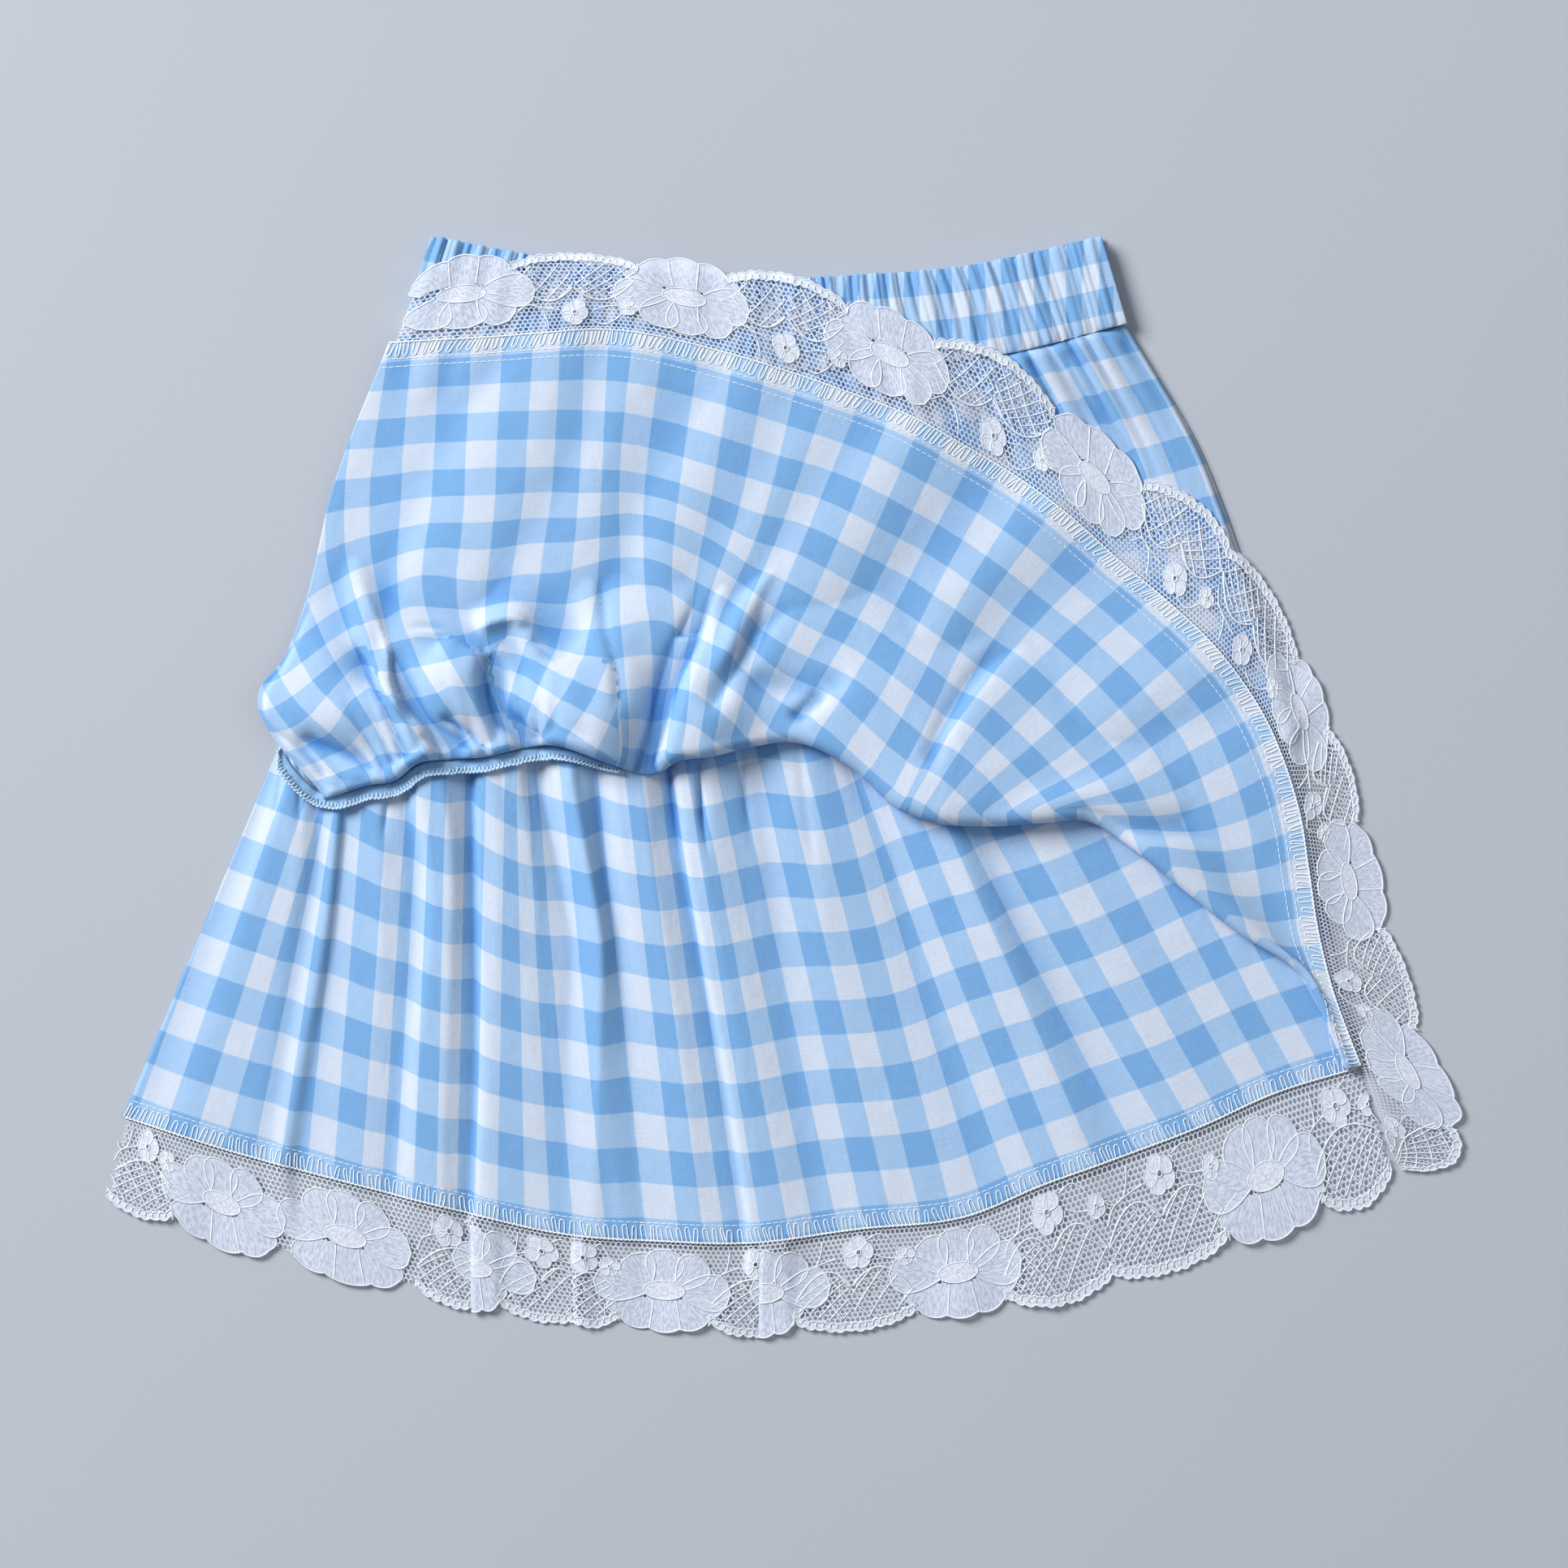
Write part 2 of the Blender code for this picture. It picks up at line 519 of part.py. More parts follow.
def back_ruffle():
    """The back ruffle: its folds stand up from the floor and flatten under the front."""
    fan = np.asarray(BACK_FAN, float)
    knots = np.linspace(0, 1, len(fan))
    across = np.linspace(0, 1, BACK_COLUMNS + 1)
    ends = smooth_rows(knots, fan, across)
    grid = np.zeros((BACK_ROWS + 1, BACK_COLUMNS + 1, 2))
    for r, share in enumerate(np.linspace(0, 1, BACK_ROWS + 1)):
        seam_y = height_at(BACK_SEAM, ends[:, 0])
        hem_y = height_at(BACK_HEM, ends[:, 1])
        grid[r, :, 0] = ends[:, 0] + (ends[:, 1] - ends[:, 0]) * share
        grid[r, :, 1] = seam_y + (hem_y - seam_y) * share
    flat = grid.reshape(-1, 2)
    covered, _, _ = beside_path(flat, np.concatenate([ALLOWANCE_CORNER, fold_edge()]))
    open_share = (1 - ease((covered + BACK_REACH) / (2 * BACK_REACH))).reshape(grid.shape[:2])
    below = grid[:1, :, 1] - grid[..., 1]
    z = relief(BACK_FOLDS, grid)
    fade = np.exp(-((below / RUFFLE_GATHER_LENGTH) ** 2))
    z += RUFFLE_GATHER_HEIGHT * gathers(across, RUFFLE_GATHERS, 0.1) * fade
    z *= ease(np.minimum(across, 1 - across) * (fan[-1, 0] - fan[0, 0]) / SIDE_FLAT)
    return sheet_solid("ruffle_back", with_height(grid, layer_height(0) + z * open_share), GINGHAM_BACK)


def front_ruffle(below_front, below_fold):
    """The turned-up ruffle: its puffed top, the fold edge curled under, and the cloth folded in."""
    shares = np.array(FRONT_SHARES)
    plan, cloth = front_plan(FRONT_COLUMNS, shares)
    columns = [row[0] for row in FRONT_GUIDES]
    lifts = np.array([row[1] for row in FRONT_GUIDES])
    half = smooth_rows(columns, lifts, cloth[-1]) / 2
    out = outward(plan[-1])
    edge = plan[-1] - out * WALL / 2
    centre = edge - out * half[:, None]
    pull = ease((shares - 0.45) / 0.55)[:, None, None]
    plan = plan + (centre - plan[-1])[None] * pull

    # The folded-in cloth lies on the back ruffle, as high as its folds need
    probe = np.array([edge + out, centre, centre - out * 4.0, centre - out * 8.0])
    need = top_below(below_fold, probe, TUCK_REACH).max(axis=0) + LAY_GAP + WALL / 2
    low = np.maximum(need, np.maximum(np.roll(need, 1), np.roll(need, -1)))
    low[0] = need[:2].max()
    low[-1] = need[-2:].max()

    flat_z = layer_height(2)
    z = flat_z + (low + 2 * half - flat_z)[None] * ease((shares - 0.3) / 0.7)[:, None]
    z = z + relief(FRONT_FOLDS, plan) * np.clip(z / flat_z - 0.6, 0.2, 1.0)
    inside = (cloth - cloth[:, :1]) * EDGE_COLUMN_WIDTH
    roll = 1 - np.sqrt(1 - np.clip(1 - inside / EDGE_ROLL, 0, 1) ** 2)
    z -= (z - WALL) * roll
    z = np.maximum(z, low[None] + 1.6 * WALL * (shares > 0.7)[:, None])
    middle = settle(with_height(plan, z), below_front, RUFFLE_REACH)

    top_z = middle[-1, :, 2]
    tall = (top_z - low) / 2
    rows = [middle]
    for k in range(1, CURL_ROWS + 1):
        turn = math.pi * k / CURL_ROWS
        place = centre + out * (half * math.sin(turn))[:, None]
        rows.append(with_height(place, low + tall + tall * math.cos(turn))[None])
    tuck_y = height_at(FRONT_SEAM, centre[:, 0]) - SEAM_GAP
    tucked = []
    for k in range(1, RETURN_ROWS + 1):
        share = k / RETURN_ROWS
        y = centre[:, 1] + (np.maximum(tuck_y, centre[:, 1] + 1.5) - centre[:, 1]) * share
        level = low + (layer_height(1) - low) * ease(share)
        tucked.append(np.column_stack([centre[:, 0], y, level]))
    rows.append(settle(np.array(tucked), below_fold, TUCK_REACH))
    return sheet_solid("ruffle_front", np.concatenate(rows), GINGHAM)


def seam_allowance(below):
    """The gathered edge that stands out below the fold edge at the left."""
    columns = np.linspace(ALLOWANCE_COLUMNS[0], ALLOWANCE_COLUMNS[1], 34)
    line = smooth_rows([row[0] for row in FRONT_GUIDES], [row[5] for row in FRONT_GUIDES], columns)
    line = line + outward(line) * SEAM_GAP
    corner = smooth_path(ALLOWANCE_CORNER, 4)
    inner = np.concatenate([corner, line])
    side = outward(inner)
    width = np.full(len(inner), ALLOWANCE_WIDTH)
    width[: len(corner)] = CORNER_ALLOWANCE_WIDTH
    width[-6:] *= np.linspace(1.0, 0.35, 6)
    shares = np.array([0.0, 0.5, 1.0])
    plan = inner[None] + side[None] * (width * shares[:, None])[..., None]
    middle = settle(with_height(plan, layer_height(0)), below, ALLOWANCE_REACH)
    return sheet_solid("seam_allowance_front", middle, THREAD_BLUE)


def scalloped(inner, outer, shares):
    """A lace strip between its sewn edge and its outer edge, cut in even scallops."""
    passed = np.concatenate([[0], np.cumsum(np.linalg.norm(np.diff(outer, axis=0), axis=1))])
    count = round(passed[-1] / SCALLOP_PITCH)
    steps = int(count * round(SCALLOP_PITCH / LACE_STEP))
    at = np.linspace(0, passed[-1], steps + 1)
    inner = smooth_rows(passed, inner, at)
    outer = smooth_rows(passed, outer, at)
    bulge = np.abs(np.sin(math.pi * count * at / passed[-1])) ** 0.8 - 0.62
    across = outer - inner
    across /= np.linalg.norm(across, axis=1, keepdims=True)
    outer = outer + across * (bulge * SCALLOP_DEPTH)[:, None]
    shares = np.array(shares)[:, None, None]
    return inner[None] * (1 - shares) + outer[None] * shares


def front_lace(below):
    """Lace on the front hem, over the waistband and down the right side."""
    table = np.asarray(FRONT_LACE, float)
    columns = np.linspace(table[0, 0], table[-1, 0], LACE_POINTS)
    hem = smooth_rows([row[0] for row in FRONT_GUIDES], [row[2] for row in FRONT_GUIDES], columns)
    hem = hem - outward(hem) * SEAM_GAP
    outer = smooth_rows(table[:, 0], table[:, 1:], columns)
    hem = np.concatenate([hem, [row[0] for row in FRONT_LACE_CORNER]])
    outer = np.concatenate([outer, [row[1] for row in FRONT_LACE_CORNER]])
    plan = scalloped(hem, outer, FRONT_LACE_SHARES)
    middle = settle(with_height(plan, layer_height(0)), below, LACE_REACH)
    return sheet_solid("lace_front", middle, LACE_WHITE)


def back_lace():
    """Lace on the back hem, flat on the floor."""
    table = np.asarray(BACK_LACE, float)
    x = np.linspace(table[0, 0], table[-1, 0], LACE_POINTS)
    hem = np.column_stack([x, height_at(BACK_HEM, x) - SEAM_GAP])
    plan = scalloped(hem, smooth_rows(table[:, 0], table[:, 1:], x), BACK_LACE_SHARES)
    return sheet_solid("lace_back", with_height(plan, layer_height(0)), LACE_WHITE)


def build():
    """All pieces, from the floor up."""
    for old in list(bpy.data.objects):
        bpy.data.objects.remove(old, do_unlink=True)
    band_back, band_front = waistbands()
    yoke_back, yoke_front = yokes()
    ruffle_back = back_ruffle()
    lace_back = back_lace()
    back = [yoke_back, ruffle_back, lace_back]
    lower = trees_of(back + [band_back, band_front, yoke_front])
    seam_allowance(trees_of(back))
    front_ruffle(lower, trees_of(back))
    front_lace(lower)


build()
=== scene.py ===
"""The looks of a child's gingham skirt with lace trim, laid flat with its front hem turned up.

Sizes and places are in millimetres on the floor, as in the solids' source: +X to the right,
+Y towards the waistband, +Z up. They become metres where a mesh is made.
"""

import math
from collections import namedtuple

import bpy
import numpy as np
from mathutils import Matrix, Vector


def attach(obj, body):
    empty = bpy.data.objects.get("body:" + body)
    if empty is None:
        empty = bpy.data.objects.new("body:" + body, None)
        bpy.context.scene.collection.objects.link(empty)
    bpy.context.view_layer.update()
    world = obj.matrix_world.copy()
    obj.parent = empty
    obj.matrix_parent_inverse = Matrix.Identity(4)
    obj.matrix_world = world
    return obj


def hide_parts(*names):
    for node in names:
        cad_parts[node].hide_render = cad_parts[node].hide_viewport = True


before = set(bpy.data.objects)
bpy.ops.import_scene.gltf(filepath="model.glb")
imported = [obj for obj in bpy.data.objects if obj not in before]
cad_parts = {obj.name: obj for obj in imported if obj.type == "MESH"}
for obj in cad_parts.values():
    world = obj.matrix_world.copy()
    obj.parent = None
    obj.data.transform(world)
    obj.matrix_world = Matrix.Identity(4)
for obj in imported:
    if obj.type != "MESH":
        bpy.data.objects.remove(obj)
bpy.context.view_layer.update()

MM = 0.001

# Driving sizes, as in the solids
WALL = 1.0
SEAM_GAP = 0.3
LAY_GAP = 0.35
BAND_THICK = 2.8
SCALLOP_PITCH = 33.5
ALLOWANCE_WIDTH = 4.2
EDGE_ROLL = 4.0
EDGE_COLUMN_WIDTH = 18.0
SIDE_FLAT = 10.0
BACK_REACH = 6.0
DRAPE_SLOPE = 0.35

# Not as in the solids: their scallops are 5.5 deep
SCALLOP_DEPTH = 3.7

# The cloth itself. BAND_CLOTH is how much cloth the elastic draws into each length of waistband
CLOTH_WALL = 0.45
CHECK = 10.0
BAND_CLOTH = 2.04
HEM_BAND = 5.0
STITCH_PITCH = 2.6
THREAD = 0.2
# Rows and columns of the grids of points
BACK_YOKE_GRID = (40, 120)
FRONT_YOKE_GRID = (84, 210)
BACK_RUFFLE_GRID = (94, 430)
LACE_GRID = (30, 460)
ALLOWANCE_GRID = (10, 220)
FRONT_COLUMNS = 280
BAND_COLUMNS = 620
# Distances in from a hem at which its strip is read
HEM_DEPTHS = (0.0, 1.0, 2.0, 3.0, 4.0, 5.0, 6.0, 7.5, 9.0)
# Rows of the turned-up ruffle that its hem strip is read from
HEM_ROWS = 96
# Rings of points round a waistband half, and how many of them lie on top
BAND_RINGS = 40
BAND_UPPER = 21
# Length of a waistband half, and how far from its ends the gathers fade
BAND_LENGTH = 224
BAND_END = 4


# Waistband edges, left to right: x, y
BAND_TOP = ((-109, 170), (-77, 164), (-45, 159.5), (-10, 157), (20, 158), (56, 161), (97, 170))
BAND_FOOT = ((-119, 138), (-85, 133), (-48, 130), (-10, 128.5), (25, 129), (66, 133.3), (105, 143))

# Yoke sides from the waistband down: share of the height, left x, right x
YOKE_SIDES = (
    (0.00, -117.0, 104.5),
    (0.11, -121.0, 113.0),
    (0.21, -125.0, 120.5),
    (0.31, -129.0, 127.0),
    (0.43, -135.0, 133.0),
    (0.70, -147.0, 144.0),
    (1.00, -152.0, 155.0),
)
# Gather seam between yoke and ruffle on the back: x, y
BACK_SEAM = ((-157, 10.5), (-100, 6), (-30, 5), (40, 6), (100, 9), (155, 14))
# Edge of the cloth folded in under the turned-up front, where it meets the front yoke: x, y
FRONT_SEAM = (
    (-156, 12), (-142, 8), (-128, 11), (-112, 17), (-92, 19), (-80, 21), (-52, 19), (-20, 20),
    (4, 23), (32, 18), (64, 15), (106, 14), (122, 10), (139, -15), (158, -49), (168, -73),
    (174, -85),
)
# The front yoke's lower edge leaves that line here and runs on to its right side: x, y
YOKE_FOOT_RIGHT = ((106, 14), (155, 17))

# Back hem, left to right: x, y
BACK_HEM = (
    (-204, -101), (-171, -111.5), (-135.5, -121), (-96, -131), (-72, -136.5), (-34, -139.5),
    (-15, -140), (23, -135.5), (58, -131), (78, -122.5), (101.5, -114), (129, -103.5),
    (150, -94), (176, -86),
)
# How the back ruffle fans out, left to right: x at the gather seam, x at the hem
BACK_FAN = (
    (-157, -204), (-136, -152), (-117, -118), (-95, -96.5), (-78, -60.5), (-58, -42),
    (-36, -11), (-16, 13), (20, 64), (38, 86), (83, 128), (155, 176),
)

# Front ruffle, one row for each second check of the cloth, from the rolled left edge to the
# side seam at the right: check column, lift of the fold edge, then x, y at the hem, at one
# and two thirds of the way, and at the fold edge
FRONT_GUIDES = (
    (-3, 3.0, (-175.8, 133.0), (-176.5, 88.0), (-170.8, 45.5), (-142.0, -3.2)),
    (-2, 4.0, (-159.5, 135.5), (-158.2, 83.0), (-154.0, 40.5), (-128.2, 1.0)),
    (-1, 4.5, (-141.0, 136.2), (-144.0, 88.0), (-137.5, 46.8), (-120.0, 2.5)),
    (0, 5.0, (-125.5, 137.0), (-132.0, 85.5), (-124.5, 43.0), (-112.2, 8.0)),
    (1, 4.5, (-110.8, 137.8), (-113.2, 95.5), (-115.0, 51.8), (-103.0, 9.0)),
    (2, 5.0, (-91.5, 138.8), (-94.0, 95.5), (-96.8, 51.8), (-92.0, 9.8)),
    (3, 4.0, (-73.0, 140.2), (-76.0, 95.5), (-82.0, 58.0), (-80.0, 12.5)),
    (4, 7.0, (-58.0, 141.2), (-59.5, 98.0), (-63.2, 52.8), (-69.5, 13.0)),
    (5, 7.5, (-42.5, 139.8), (-47.5, 95.5), (-46.5, 50.5), (-52.8, 7.2)),
    (6, 4.5, (-21.0, 134.8), (-27.5, 90.5), (-32.5, 49.2), (-41.2, 4.2)),
    (7, 7.5, (-0.8, 128.8), (-10.8, 83.0), (-24.0, 49.2), (-32.5, 8.5)),
    (8, 8.0, (18.5, 122.2), (3.0, 81.8), (-10.8, 46.8), (-22.0, 10.0)),
    (9, 7.0, (37.5, 115.0), (21.0, 76.0), (5.5, 43.0), (-9.5, 13.0)),
    (10, 6.5, (54.2, 106.0), (37.2, 72.5), (20.5, 40.5), (4.2, 14.0)),
    (11, 8.0, (71.0, 96.0), (51.8, 63.0), (36.0, 31.8), (20.0, 6.5)),
    (12, 9.0, (87.5, 83.8), (65.0, 55.0), (48.0, 24.2), (32.5, -5.0)),
    (13, 9.0, (103.5, 69.5), (80.5, 48.5), (58.0, 23.0), (39.2, -8.2)),
    (14, 8.5, (118.2, 57.0), (94.2, 36.8), (69.2, 11.8), (49.2, -11.0)),
    (15, 8.0, (132.2, 43.5), (108.0, 23.0), (84.2, 4.2), (64.2, -11.5)),
    (16, 7.5, (144.2, 27.5), (121.8, 14.8), (100.5, 0.5), (79.2, -10.5)),
    (17, 6.5, (152.0, 11.8), (133.0, 1.2), (111.8, -7.0), (92.5, -10.0)),
    (18, 6.5, (158.0, -7.0), (139.2, -14.5), (123.0, -17.0), (105.5, -17.8)),
    (19, 6.0, (161.0, -25.0), (148.0, -28.2), (134.2, -30.0), (120.5, -29.8)),
    (20, 5.0, (163.8, -43.5), (155.5, -44.5), (147.5, -45.2), (139.2, -44.5)),
    (21, 3.5, (168.0, -60.8), (165.0, -60.0), (161.5, -59.0), (158.5, -57.2)),
    (22, 2.6, (173.0, -75.0), (171.8, -75.5), (170.0, -76.0), (168.0, -76.5)),
    (22.8, 2.4, (177.0, -85.2), (175.6, -85.6), (174.0, -86.0), (172.2, -86.5)),
)
# Where the rolled left edge cuts the check columns: share from hem to fold edge, column
FRONT_LEFT = ((0, 0.24), (0.33, -0.7), (0.67, -2.0), (0.83, -3.2), (1, -3.0))

# Folds: height, width to the left and right of the path, fade at its start and end, path x, y
Fold = namedtuple("Fold", "height left right fade_in fade_out path")
FRONT_FOLDS = (
    Fold(3.0, 4.0, 5.0, 20, 0, ((-135, 83), (-130, 58), (-127, 39.5), (-120, 21), (-112, 10))),
    Fold(-2.6, 3.5, 3.5, 12, 0, ((-121, 41), (-117, 30), (-111, 20), (-102, 12))),
    Fold(-2.0, 4.0, 4.0, 8, 8, ((-152, 17), (-139, 13), (-126, 6))),
    Fold(2.8, 1.6, 9.0, 6, 6, ((-107, 48), (-101, 44.5), (-96.8, 42.3), (-90, 41.5))),
    Fold(3.0, 3.5, 3.0, 6, 8, ((-96, 47), (-89, 52), (-83.5, 52.5), (-80, 48.5), (-77, 43.5), (-71, 37.8))),
    Fold(-4.5, 3.5, 3.5, 8, 0, ((-90, 41), (-89.5, 34), (-87.5, 24.5), (-82.5, 19), (-76.5, 13))),
    Fold(2.2, 8.0, 8.0, 30, 0, ((-58, 80), (-56.5, 51), (-52, 35), (-52, 24.5), (-58, 11))),
    Fold(-6.0, 3.5, 3.5, 25, 0, ((-21, 66), (-26.5, 52), (-33.5, 35.5), (-37.3, 23), (-43.5, 4))),
    Fold(2.4, 3.5, 3.0, 20, 0, ((-14, 72), (-20, 60), (-26, 46), (-31.5, 33), (-38.5, 10))),
    Fold(-2.2, 4.0, 4.0, 20, 10, ((5.5, 71), (-7, 51.5), (-14, 38.8), (-19.5, 31), (-27, 22))),
    Fold(2.2, 4.0, 4.0, 20, 12, ((2, 88), (1, 76), (-10.5, 57), (-23, 32))),
    Fold(-2.4, 2.5, 2.5, 5, 4, ((13, 31), (8, 26), (1, 20))),
    Fold(-2.0, 4.5, 4.5, 8, 10, ((-16, 34), (-1, 32), (12, 32), (22, 36))),
    Fold(-1.4, 3.0, 3.0, 15, 8, ((78, 52), (60, 37), (49.5, 21.5), (42, 4))),
    Fold(-2.4, 5.0, 4.0, 0, 12, ((94, -11), (110, -12), (124, -12), (139, -10), (153, -9))),
    Fold(-1.0, 3.5, 3.5, 15, 30, ((-57, 136), (-56.5, 93), (-57, 66))),
)

# Lace outer edge along the front, from the left end to the side seam at the lower right:
# check column of the front hem, x, y on the middle line of the scallops
FRONT_LACE = (
    (0.24, -113.5, 158.0), (1.5, -100.5, 162.0), (3.5, -67.0, 163.0), (5.7, -29.5, 161.0),
    (7.3, 5.5, 155.0), (9.2, 42.5, 141.0), (10.6, 68.0, 130.5), (11.8, 88.0, 114.5),
    (13.0, 110.0, 97.5), (14.3, 133.0, 80.5), (15.5, 150.0, 57.0), (16.7, 162.5, 33.0),
    (18.0, 173.0, 5.5), (19.3, 181.5, -24.5), (20.5, 188.5, -52.0), (21.6, 196.5, -75.5),
    (22.8, 203.0, -91.0),
)
# Front lace round the corner: x, y on the side seam, x, y on the outer edge
FRONT_LACE_CORNER = (
    ((178.4, -88.5), (208.2, -103.0)),
    ((180.6, -95.0), (206.5, -112.5)),
    ((183.0, -102.0), (199.0, -116.5)),
    ((185.0, -109.6), (189.2, -117.6)),
)
# Lace outer edge along the back: x at the hem, x, y on the middle line of the scallops
BACK_LACE = (
    (-204, -210, -126), (-190, -191, -133), (-171, -169, -141.5), (-148, -146, -147.5),
    (-122, -121, -153.5), (-97, -96, -159), (-67, -66, -163.5), (-37, -37, -165.5),
    (-7, -7, -167), (20, 21, -165), (50, 53, -161), (80, 85.5, -156.5), (108, 113, -148),
    (132, 138, -140.5), (152, 163, -131.5), (168, 180, -125), (178, 187.6, -119),
)

# Seam allowance of the front, from the left side round the corner: x, y of its inner edge
ALLOWANCE_CORNER = ((-155.2, 12.6), (-152.2, 7.6), (-148.2, 3.0), (-143.2, -1.6))
ALLOWANCE_COLUMNS = (-2.75, 5.2)


def ease(x):
    """Zero up to 0, one from 1 on, smooth between."""
    x = np.clip(x, 0.0, 1.0)
    return x * x * (3.0 - 2.0 * x)


def smooth_rows(knots, rows, at):
    """Rows of a table read between its knots, on a smooth curve through them."""
    knots = np.asarray(knots, float)
    rows = np.asarray(rows, float)
    at = np.atleast_1d(np.asarray(at, float))
    slopes = np.gradient(rows, knots, axis=0)
    left = np.clip(np.searchsorted(knots, at) - 1, 0, len(knots) - 2)
    span = knots[left + 1] - knots[left]
    share = (at - knots[left]) / span
    inside = np.clip(share, 0.0, 1.0)
    beyond = (share - inside) * span
    tail = (-1,) + (1,) * (rows.ndim - 1)
    f = inside.reshape(tail)
    span = span.reshape(tail)
    ends = np.where((share > 1.0).reshape(tail), slopes[left + 1], slopes[left])
    return (
        rows[left] * (2 * f**3 - 3 * f**2 + 1)
        + rows[left + 1] * (3 * f**2 - 2 * f**3)
        + slopes[left] * span * (f**3 - 2 * f**2 + f)
        + slopes[left + 1] * span * (f**3 - f**2)
        + ends * beyond.reshape(tail)
    )


def height_at(edge, x):
    """The y of an edge table at x."""
    edge = np.asarray(edge, float)
    return smooth_rows(edge[:, 0], edge[:, 1], x)


def smooth_path(points, pieces=5):
    """A path through the points, with more points between them."""
    points = np.asarray(points, float)
    passed = np.concatenate([[0], np.cumsum(np.linalg.norm(np.diff(points, axis=0), axis=1))])
    return smooth_rows(passed, points, np.linspace(0, passed[-1], pieces * (len(points) - 1) + 1))


def beside_path(points, path):
    """Distance from a path, positive on its left, length passed along it, and its length."""
    nearest = np.full(len(points), np.inf)
    side = np.zeros(len(points))
    passed = np.zeros(len(points))
    start = 0.0
    for a, b in zip(path[:-1], path[1:]):
        length = np.linalg.norm(b - a)
        run = (b - a) / length
        away = points - a
        along = np.clip(away @ run, 0, length)
        distance = np.linalg.norm(away - along[:, None] * run, axis=1)
        closer = distance < nearest
        nearest[closer] = distance[closer]
        side[closer] = np.where(run[0] * away[:, 1] - run[1] * away[:, 0] >= 0, 1, -1)[closer]
        passed[closer] = start + along[closer]
        start += length
    return nearest * side, passed, start


def over_folds(folds, points, raise_one):
    """Sum over a table of folds. Offsets are in half widths, on the side where the point lies."""
    flat = points.reshape(-1, 2)
    total = np.zeros(len(flat))
    for fold in folds:
        offset, passed, length = beside_path(flat, smooth_path(fold.path))
        width = np.where(offset > 0, fold.left, fold.right)
        total += raise_one(fold, offset / width, passed, length)
    return total.reshape(points.shape[:-1])


def relief(folds, points):
    """Height that a table of round folds adds at each point."""

    def round_fold(fold, offset, passed, length):
        raised = fold.height * np.exp(-(offset ** 2))
        if fold.fade_in:
            raised *= ease(passed / fold.fade_in)
        if fold.fade_out:
            raised *= ease((length - passed) / fold.fade_out)
        return raised

    return over_folds(folds, points, round_fold)


def grooves(folds, points):
    """Height that a table of sharp creases adds at each point: a V across each path."""

    def crease(fold, offset, passed, length):
        raised = fold.height * np.exp(-np.abs(offset))
        start = ease((passed + 0.5) / max(fold.fade_in, 0.5))
        end = ease((length - passed + 0.5) / max(fold.fade_out, 0.5))
        return raised * (start * end)

    return over_folds(folds, points, crease)


def layer_height(number):
    """Middle of a layer of flat cloth, counted from the floor as 0, 1, 2."""
    return (number + 0.5) * WALL + number * LAY_GAP


def with_height(plan, z):
    """A grid of points from its plan and its heights."""
    return np.concatenate([plan, np.broadcast_to(z, plan.shape[:-1])[..., None]], axis=-1)


def outward(points):
    """Unit directions to the right of a line of points in plan."""
    run = np.gradient(points, axis=0)
    run /= np.linalg.norm(run, axis=1, keepdims=True)
    return np.column_stack([run[:, 1], -run[:, 0]])


def lengths(points):
    """Length run along a line of points, starting at zero."""
    steps = np.linalg.norm(np.diff(points, axis=0), axis=-1)
    return np.concatenate([np.zeros((1,) + steps.shape[1:]), np.cumsum(steps, axis=0)])


def read_line(line, passed, at):
    """A line in plan, given with the length run along it, read at other lengths."""
    return np.stack([np.interp(at, passed, line[:, k]) for k in (0, 1)], axis=-1)


# Gathers at a seam: their height, how many there are, how far from it they fade, and the seed that
# their widths and heights are drawn with
Gathers = namedtuple("Gathers", "height count reach seed")
BACK_YOKE_GATHERS = Gathers(0.4, 70, 12, 3)
FRONT_YOKE_GATHERS = Gathers(4.2, 40, 26, 17)
BACK_RUFFLE_GATHERS = Gathers(0.35, 60, 20, 7)
FRONT_TUCKS = Gathers(2.6, 19, 13, 31)
# How far the valley between two puffs wanders, as a share of a puff's width
PUFF_JITTER = 0.3


def puffs(along, count, seed):
    """Uneven round puffs with sharp valleys between them, 0 to 1, where along runs 0 to 1."""
    rng = np.random.default_rng(seed)
    walls = np.linspace(-0.02, 1.02, count + 1)
    walls[1:-1] += rng.uniform(-PUFF_JITTER, PUFF_JITTER, count - 1) / count
    full = rng.uniform(0.45, 1.0, count)
    cell = np.clip(np.searchsorted(walls, along) - 1, 0, count - 1)
    share = (along - walls[cell]) / (walls[cell + 1] - walls[cell])
    return full[cell] * np.sin(np.pi * np.clip(share, 0, 1)) ** 0.65


def noise_row(along, pitch, seed):
    """A smooth random curve, -1 to 1, with about one bump for each pitch."""
    rng = np.random.default_rng(seed)
    at = np.asarray(along, float) / pitch
    knots = rng.uniform(-1, 1, int(at.max() - at.min()) + 4)
    at = at - at.min()
    cell = at.astype(int)
    return knots[cell] + (knots[cell + 1] - knots[cell]) * ease(at - cell)


